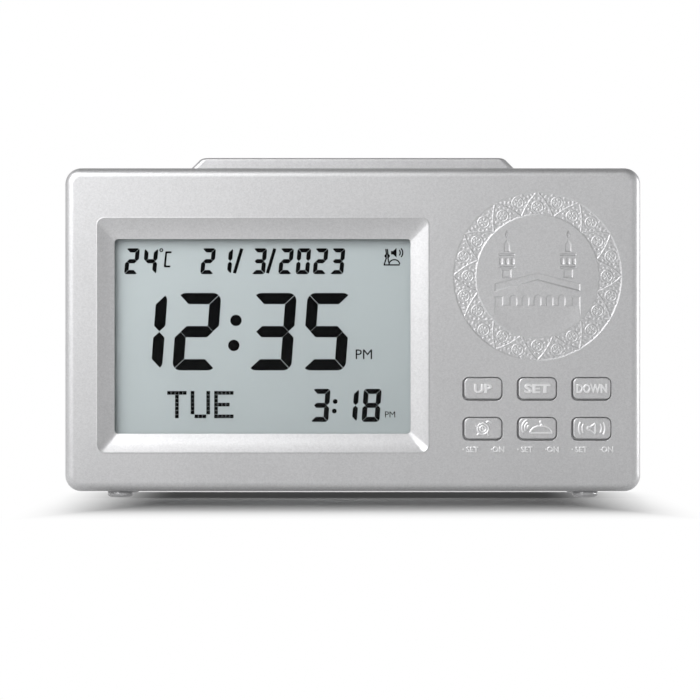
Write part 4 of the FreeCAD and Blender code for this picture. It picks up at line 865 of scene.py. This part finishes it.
mask, tree, place = surface("solder_mask")
cell = tree.node("ShaderNodeTexVoronoi", {}, {"Vector": place, "Scale": PATCHES}, "Color")
which = tree.node("ShaderNodeSeparateColor", {}, {0: cell}, 0).step(0.45, 0.55)
lines = {"Vector": place, "Scale": TRACKS, "Distortion": 0.0}
along = [tree.node("ShaderNodeTexWave", {"bands_direction": way}, lines) for way in "XZ"]
track = (along[0] * which + along[1] * (1 - which)).step(0.70, 0.78)
weave = noise(place, 0.5)
pad = tree.node("ShaderNodeTexVoronoi", {}, {"Vector": place, "Scale": PADS}, "Distance")
colour = track.mix((0.010, 0.075, 0.035, 1), (0.020, 0.135, 0.055, 1))
colour = pad.step(0.13, 0.16).mix((0.60, 0.58, 0.52, 1), colour)
coat(tree, colour, weave * 0.1 + 0.30, track * 0.7 + weave * 0.3, 0.03)
dress(mask, "main_board", "key_board", "snooze_board")

package = speckled("chip_package", 0.12, (0.014, 0.014, 0.015), (0.035, 0.035, 0.036), (0.5, 0.2), 0.01)
dress(package, "controller_chip", "voice_chip")

bright_can, tree, place = surface("drawn_can")
streak = noise(place.vector("MULTIPLY", (0.4, 6.0, 6.0)), 1.0, 3.0)
colour = streak.mix((0.55, 0.55, 0.56, 1), (0.80, 0.80, 0.81, 1))
coat(tree, colour, streak * 0.15 + 0.22, streak, 0.006, Metallic=0.95)
dress(bright_can, "quartz_crystal")

sleeve, tree, place = surface("shrunk_sleeve")
wrinkle = noise(place, 0.8)
colour = place.part("Z").step(*CAPACITOR_STRIPE).mix((0.012, 0.016, 0.045, 1), (0.42, 0.43, 0.45, 1))
colour = wrinkle.step(0.2, 0.9).mix(colour, (0.05, 0.055, 0.08, 1))
coat(tree, colour, wrinkle * 0.1 + 0.22, wrinkle, 0.03)
dress(sleeve, "capacitor")

dipped = speckled("dipped_bead", 0.9, (0.30, 0.035, 0.012), (0.42, 0.06, 0.02), (0.2, 0.1), 0.08)
dress(dipped, "temperature_bead")

plated = speckled(
    "plated_steel", 0.7, (0.36, 0.36, 0.38), (0.58, 0.58, 0.60), (0.26, 0.18), 0.012, 4.0, Metallic=0.95
)
dress(plated, "case_screws", "main_board_screws", "key_board_screws", "snooze_board_screws", "speaker_screws")

# ---- Keys
# Six silver caps with their markings moulded on them. Each slides in its own hole, held behind the wall by a
# flange, on a silicone mat whose domes press carbon pills on to the key board.

KEY_PROUD = 0.52
KEY_ROUND = 0.5
KEY_SIT = (0.16, 0.16)
FLANGE_FRONT, FLANGE_BACK, STEM_BACK = 2.4, 3.4, 4.5
FLANGE_MARGIN = 0.95
STEM_SIDE = 5.2
MARK_HEIGHT = 0.275
MARK_WIDTH = 0.62
FOOT_SUNK = 0.5


def key_cap(across, up):
    """Rings of a cap from the back of its stem, out over the flange, up its sides and over the round edge."""
    width, height, corner = KEY_SIZE
    rings = [at(loop(STEM_SIDE, STEM_SIDE, 0.3, across, up), depth) for depth in (STEM_BACK, FLANGE_BACK)]
    wide = loop(width + 2 * FLANGE_MARGIN, height + 2 * FLANGE_MARGIN, corner, across, up)
    rings += [at(wide, FLANGE_BACK), at(wide, FLANGE_FRONT)]
    rings.append(at(loop(width, height, corner, across, up), FLANGE_FRONT))
    for inwards, depth in round_over(KEY_ROUND, 8):
        sides = (width - 2 * inwards, height - 2 * inwards, corner - inwards)
        rings.append(at(loop(*sides, across, up), depth - KEY_PROUD))
    return rings


def bead(path, width, height, front, closed=False):
    """A raised half-round line along a path, tapering to a point at open ends.

    Each point carries a half circle square to the path: across by the cosine of a turn, up from the face by
    its sine, with its foot sunk a little.
    """
    path = np.asarray(path, float)
    way = np.roll(path, -1, axis=0) - np.roll(path, 1, axis=0) if closed else np.gradient(path, axis=0)
    way /= np.maximum(np.linalg.norm(way, axis=1, keepdims=True), 1e-9)
    aside = np.stack([-way[:, 1], way[:, 0]], axis=-1)
    turn = np.linspace(0, np.pi, 6)
    out = np.concatenate([np.cos(turn), [-1, 1]]) * width / 2
    rise = np.concatenate([np.sin(turn), [-FOOT_SUNK, -FOOT_SUNK]]) * height
    order = np.arange(len(path))
    grow = np.full(len(path), 1.0) if closed else np.minimum(order, order[::-1]).clip(0, 2) / 2
    spot = path[:, None] + (grow[:, None] * out)[:, :, None] * aside[:, None]
    deep = FACE + front - grow[:, None] * rise
    return skin(np.stack([spot[:, :, 0], deep, spot[:, :, 1] + BASE], axis=-1), closed)


def beads(lines, width, front, height=MARK_HEIGHT):
    """Several half-round lines; each is its points and whether it is closed."""
    return joined([bead(drawn(line), width, height, front, closed) for line, closed in lines])


def alarm_sign(x, z):
    """A round clock with a double rim, two bells, feet and hands."""
    lines = [(bow(x, z - 0.15, radius, 0, 354, steps=50), True) for radius in (1.75, 0.95)]
    for side in (-1, 1):
        start = 100 - side * 110
        lines.append((bow(x + side * 1.85, z + 1.5, 0.8, start, start + 180), False))
        lines.append(([(x + side * 1.2, z - 1.5), (x + side * 2.0, z - 2.35)], False))
    lines.append(([(x, z + 0.5), (x, z - 0.15), (x + 0.45, z - 0.4)], False))
    return lines


def call_sign(x, z):
    """A dome with a spire, and waves of sound at its left."""
    dome = [bow(x + 1.2, z - 1.5, 3.5, start, end, 2.3) for start, end in ((180, 105), (75, 0))]
    lines = [(np.concatenate([*dome, [(x - 2.3, z - 1.5)]]), True)]
    lines.append(([(x + 0.9, z + 0.7), (x + 1.5, z + 1.4), (x + 0.8, z + 2.0), (x + 1.2, z + 2.6)], False))
    for radius in (0.9, 1.8, 2.7):
        lines.append((bow(x - 2.3, z + 0.2, radius, 110, 220), False))
    return lines


def sound_sign(x, z):
    """A horn between two pairs of waves."""
    horn = [(-1.4, -0.5), (-0.5, -0.5), (1.1, -1.6), (1.1, 1.6), (-0.5, 0.5), (-1.4, 0.5), (-1.4, -0.5)]
    lines = [(np.array(horn) + (x, z), True)]
    for radius in (3.0, 4.1):
        lines.append((bow(x - 0.1, z, radius, 148, 212), False))
        lines.append((bow(x + 0.1, z, radius, -32, 32), False))
    return lines


# The markings share the caps' lacquer but are painted lighter: a painted highlight on their raised strokes.
shine = dict(Metallic=0.5, Coat_Weight=0.2, Coat_Roughness=0.2)
painted_highlight_silver = speckled("silver_painted_highlight", 0.5, (0.80, 0.80, 0.81), (0.92, 0.92, 0.93), (0.26, 0.08), 0.008, **shine)

LETTER_HEIGHT = 3.1
LETTER_BEVEL = 0.06
NAME_WIDTH = {"up": 5.9, "set": 8.6, "down": 10.0}
SIGNS = {"alarm": alarm_sign, "azan": call_sign, "sound": sound_sign}

for name, i, j in KEYS:
    across, up = KEY_ACROSS + i * KEY_PITCH + KEY_SIT[0], KEY_UP + j * KEY_ROW_PITCH + KEY_SIT[1]
    body = f"{name}_button"
    if name in NAME_WIDTH:
        form = (MARK_HEIGHT, LETTER_BEVEL, NAME_WIDTH[name])
        marking = letters(name.upper(), LETTER_HEIGHT, across, up, -KEY_PROUD, *form)
    else:
        marking = beads(SIGNS[name](across, up), MARK_WIDTH, -KEY_PROUD)
    levels = [FACE - KEY_PROUD, FACE + STEM_BACK]
    cap = piece(f"{name}_cap", *skin(key_cap(across, up)), silver, body, "silver_key", fills=levels)
    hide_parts(f"{name}_key")
    piece(f"{name}_mark", *marking, painted_highlight_silver, body, "silver_key")

# ---- Words below the keys
# Small words moulded on the face under the lower keys say which press sets a sound and which turns it on.
# Each has a dot before it.

WORDS = (("SET", -3.2), ("ON", 5.2))
WORD_HEIGHT = 1.95
WORD_DROP = 6.65
WORD_RISE = 0.22
WORD_BEVEL = 0.04
LETTER_HALF = 0.72
DOT_STEP = 0.75
DOT_SUNK = 0.1
DOT_RINGS = ((0.32, DOT_SUNK), (0.32, -0.08), (0.22, -0.18), (0, -0.2))

parts = []
for _, i, j in KEYS[3:]:
    for word, step in WORDS:
        across, up = KEY_ACROSS + i * KEY_PITCH + step, KEY_UP + j * KEY_ROW_PITCH - WORD_DROP
        parts.append(letters(word, WORD_HEIGHT, across, up, 0, WORD_RISE, WORD_BEVEL))
        dot = (across - LETTER_HALF * len(word) - DOT_STEP, up)
        parts.append(skin([at(circle(radius, *dot, 12), depth) for radius, depth in DOT_RINGS]))
# The words and dots are painted lighter than the face, as a painted highlight on their raised strokes.
piece("face_words", *joined(parts), painted_highlight_silver, "case", "silver_shell", fills=[FACE + DOT_SUNK])

# ---- Key mat and pills
# Mats of grey silicone are moulded with a dome behind each key and two under the snooze bar. A carbon pill
# stuck in each dome closes the contact on the board when the dome is pressed flat.

rubber = speckled(
    "silicone", 1.2, (0.30, 0.30, 0.31), (0.42, 0.42, 0.43), (0.48, 0.12), 0.03, Subsurface_Weight=0.1
)
dress(rubber, "keypad_mat", "snooze_domes")

soot = speckled("carbon_pill", 0.2, (0.008, 0.008, 0.008), (0.028, 0.028, 0.028), (0.7, 0.15), 0.02)
dress(soot, "snooze_pills", *(f"{name}_pill" for name, _, _ in KEYS))

# ---- Snooze bar
# A long silver bar with sloping ends slides in a slot of the top. It is moulded hollow, with a flange that
# keeps it in and two stems that press the domes of the snooze board below it.

BAR_LENGTH, BAR_WIDTH = 108.0, 14.0
BAR_DEPTH = 29.0
BAR_FLANK = 0.3
BAR_ROUND = 0.9
BAR_CORNER = 2.2
BAR_WALL = 1.6
BAR_FLANGE_ROOM = 1.35
BAR_FLANGE = 1.0
HOLLOW_CORNER = 1.0
bar_low, bar_high = box("snooze_bar")
BAR_TOP = bar_high[2]
BAR_UNDER = TOP - WALL - 0.2 - BAR_FLANGE
STEM_SPREAD = 34.0
STEM_WIDTH = 4.0
STEM_CORNER = 0.4
STEM_ROOT = 0.3
HOLLOW_ENDS = (4.2, 0.2)


def level(outline, height):
    """A plan outline, across and behind the front face, at a height above the floor."""
    x, depth = outline[:, 0], outline[:, 1]
    return np.stack([x, FACE + depth, np.full_like(x, height)], axis=-1)


def bar_plan(inwards, ends, corner):
    """The bar's plan, drawn in all round and then at its ends."""
    return loop(BAR_LENGTH - 2 * (inwards + ends), BAR_WIDTH - 2 * inwards, corner, 0, BAR_DEPTH)


# The hollow, the flange and the flanks, and then a quarter round whose ends slope in as much as they rise.
hollow = zip((*HOLLOW_ENDS, 0, 0), (BAR_TOP - BAR_WALL, TOP, TOP - 0.1, BAR_UNDER))
rings = [level(bar_plan(BAR_WALL, ends, HOLLOW_CORNER), height) for ends, height in hollow]
rings += [level(bar_plan(-BAR_FLANGE_ROOM, 0, BAR_CORNER), BAR_UNDER + lift) for lift in (0, BAR_FLANGE)]
rings += [level(bar_plan(0, 0, BAR_CORNER), height) for height in (BAR_UNDER + BAR_FLANGE, TOP + BAR_FLANK)]
for turn in np.linspace(0, np.pi / 2, 9):
    height = BAR_TOP - BAR_ROUND * (1 - np.sin(turn))
    inwards = BAR_ROUND * (1 - np.cos(turn))
    rings.append(level(bar_plan(inwards, height - TOP - BAR_FLANK, BAR_CORNER - inwards * 0.5), height))
shapes = [skin(rings)]
ceiling = BAR_TOP - BAR_WALL
for side in (-1, 1):
    stem = loop(STEM_WIDTH, STEM_WIDTH, STEM_CORNER, side * STEM_SPREAD / 2, BAR_DEPTH)
    shapes.append(skin([level(stem, bar_low[2]), level(stem, ceiling + STEM_ROOT)]))
fills = [BAR_TOP, ceiling, bar_low[2], ceiling + STEM_ROOT]
bar = piece("snooze_key", *joined(shapes), silver, "snooze_button", "silver_shell", fills=fills, axis=2)
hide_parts("snooze_bar")

# ---- Rear shell, door and latch
# The rear shell is moulded like the front one and takes the same lacquer: a speaker grille of slots, a bay
# for three cells behind a door with finger grips, and four deep wells for the case screws.

dress(silver, "rear_case", "battery_door", "door_latch")

# ---- Speaker
# A pressed steel basket with a thin film cone, a wound copper coil in the gap of a ferrite magnet, and a
# steel yoke. It faces backwards through the slots of the grille.

pressed = speckled(
    "pressed_steel", 1.5, (0.30, 0.30, 0.31), (0.48, 0.48, 0.49), (0.32, 0.15), 0.02, 4.0, Metallic=0.9
)
dress(pressed, "speaker_basket", "speaker_yoke")

sintered = speckled(
    "sintered_ferrite", 0.3, (0.022, 0.022, 0.024), (0.06, 0.06, 0.062), (0.55, 0.15), 0.04, 4.0
)
dress(sintered, "speaker_magnet")

wound, tree, place = surface("wound_copper")
wires = {"Vector": place, "Scale": 1.6, "Distortion": 0.2}
turns = tree.node("ShaderNodeTexWave", {"bands_direction": "Y"}, wires)
# The copper is darker between the turns and lighter on them: painted shade in the grooves.
colour = turns.mix((0.30, 0.09, 0.03, 1), (0.72, 0.27, 0.11, 1))
coat(tree, colour, turns * 0.1 + 0.28, turns, 0.08, Metallic=0.9)
dress(wound, "voice_coil")

CONE_RINGS = 2.4

cone, tree, place = surface("film_cone")
centre = tuple(sum(box("voice_coil")) / 2)
flat = place.vector("SUBTRACT", centre).vector("MULTIPLY", (1, 0, 1))
reach = tree.node("ShaderNodeVectorMath", {"operation": "LENGTH"}, {0: flat}, "Value")
pressed_rings = tree.math("SINE", reach * CONE_RINGS)
fibre = noise(place, 0.5, 3.0)
colour = fibre.mix((0.018, 0.018, 0.019, 1), (0.05, 0.05, 0.052, 1))
coat(tree, colour, fibre * 0.15 + 0.38, pressed_rings * 0.7 + fibre * 0.3, 0.10)
dress(cone, "speaker_film")

# ---- Battery bay
# Three AA cells lie in the bay, each in a printed sleeve between bare steel ends, against strips of spring
# steel. The sleeves are plain bands of colour, and the middle cell is turned round.

spring, tree, place = surface("spring_steel")
line = noise(place.vector("MULTIPLY", (3.0, 3.0, 0.4)), 1.0, 3.0)
colour = line.mix((0.48, 0.47, 0.45, 1), (0.72, 0.71, 0.69, 1))
coat(tree, colour, line * 0.15 + 0.25, line, 0.01, Metallic=0.95)
dress(spring, "battery_contacts")

NUB_HALF = 0.75
SLEEVE_HALF = (23.6, 23.7)
LINE_START, PALE_START = (8.9, 9.0), (10.4, 10.6)
SLEEVE_GREEN = (0.015, 0.10, 0.055, 1)
SLEEVE_PALE = (0.62, 0.62, 0.60, 1)

for n in (1, 2, 3):
    low, high = box(f"battery_cell_{n}")
    turned_round = -1 if n == 2 else 1
    middle = (low[0] + high[0]) / 2
    printed, tree, place = surface(f"cell_sleeve_{n}")
    along = (place.part("X") - middle) * turned_round
    ends = tree.math("ABSOLUTE", along - NUB_HALF).step(*SLEEVE_HALF)
    gloss_film = noise(place, 2.0)
    colour = along.step(*PALE_START).mix(SLEEVE_GREEN, SLEEVE_PALE)
    colour = along.step(*LINE_START).mix(colour, SLEEVE_PALE)
    colour = ends.mix(colour, (0.60, 0.60, 0.61, 1))
    colour = gloss_film.step(0.0, 1.4).mix(colour, (0.35, 0.36, 0.36, 1))
    coat(tree, colour, gloss_film * 0.1 + 0.24, gloss_film, 0.02, Metallic=ends * 0.95, Coat_Weight=0.3)
    dress(printed, f"battery_cell_{n}")

# ---- Feet
# Four round feet of clear soft plastic, moulded with a round lower edge, are stuck on near the corners of
# the case, whose silver shows through them.

FOOT_RADIUS = 4.15
FOOT_ROUND = 0.8
FOOT_SWELL = 0.25
FOOT_SIDES, FOOT_STEPS = 64, 7
FOOT_BEVEL = (0.15, 0.25)

shine = dict(Metallic=0.35, Coat_Weight=0.5, Coat_Roughness=0.08)
soft_clear = speckled("soft_foot", 0.8, (0.66, 0.66, 0.67), (0.80, 0.80, 0.81), (0.16, 0.10), 0.02, **shine)

for name in ("front_left", "front_right", "rear_left", "rear_right"):
    low, high = box(f"{name}_foot")
    x, depth, _ = (low + high) / 2 - (0, FACE, 0)
    # A quarter round, drawn in at its foot by the square of the turn's cosine.
    turn = np.linspace(0, np.pi / 2, FOOT_STEPS)
    radii = FOOT_RADIUS - FOOT_ROUND * (1 - np.sin(turn)) - FOOT_SWELL * np.cos(turn) ** 2
    heights = low[2] + FOOT_ROUND * (1 - np.cos(turn))
    top = [(FOOT_RADIUS, high[2] - FOOT_BEVEL[1]), (FOOT_RADIUS - FOOT_BEVEL[0], high[2])]
    sides = [*zip(radii, heights), *top]
    rings = [level(circle(radius, x, depth, FOOT_SIDES), height) for radius, height in sides]
    foot = piece(f"{name}_pad", *skin(rings), soft_clear, "case", "foot", fills=[low[2], high[2]], axis=2)
    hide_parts(f"{name}_foot")

# ---- Leads
# Flat pairs of insulated wire run from the boards to the speaker, the bay and the snooze board, and a grey
# ribbon joins the key board to the main board.

RIBBON_PITCH = 1.1
RIBBON_FOOT = box("ribbon_cable")[0][2]


def twin_lead(name, axis, first, second):
    """Two wires side by side along an axis, of two colours, with the groove between them.

    The relief rises as a cosine from the groove to the lead's two sides.
    """
    made, tree, place = surface(name)
    low, high = (corner["XYZ".index(axis)] for corner in box(name))
    across = place.part(axis) - (low + high) / 2
    wires = tree.math("COSINE", across * (2 * math.pi / (high - low)))
    skin_grain = noise(place, 0.7)
    colour = across.step(-0.05, 0.05).mix(first, second)
    colour = skin_grain.step(0.2, 1.6).mix(colour, (0.30, 0.30, 0.30, 1))
    coat(tree, colour, skin_grain * 0.1 + 0.36, wires * -0.8 + skin_grain * 0.2, 0.2)
    dress(made, name)


twin_lead("battery_leads", "Z", (0.015, 0.015, 0.016, 1), (0.42, 0.02, 0.02, 1))
twin_lead("speaker_leads", "Z", (0.02, 0.02, 0.022, 1), (0.50, 0.50, 0.48, 1))
twin_lead("snooze_leads", "X", (0.50, 0.42, 0.05, 1), (0.55, 0.55, 0.53, 1))

flat_cable, tree, place = surface("ribbon_cable")
across = place.part("Z") - RIBBON_FOOT
wires = tree.math("COSINE", across * (2 * math.pi / RIBBON_PITCH))
skin_grain = noise(place, 0.8)
colour = skin_grain.mix((0.40, 0.40, 0.40, 1), (0.52, 0.52, 0.52, 1))
colour = across.step(RIBBON_PITCH, RIBBON_PITCH * 1.05).mix((0.45, 0.03, 0.03, 1), colour)
coat(tree, colour, skin_grain * 0.1 + 0.38, wires * -0.8 + skin_grain * 0.2, 0.15)
dress(flat_cable, "ribbon_cable")
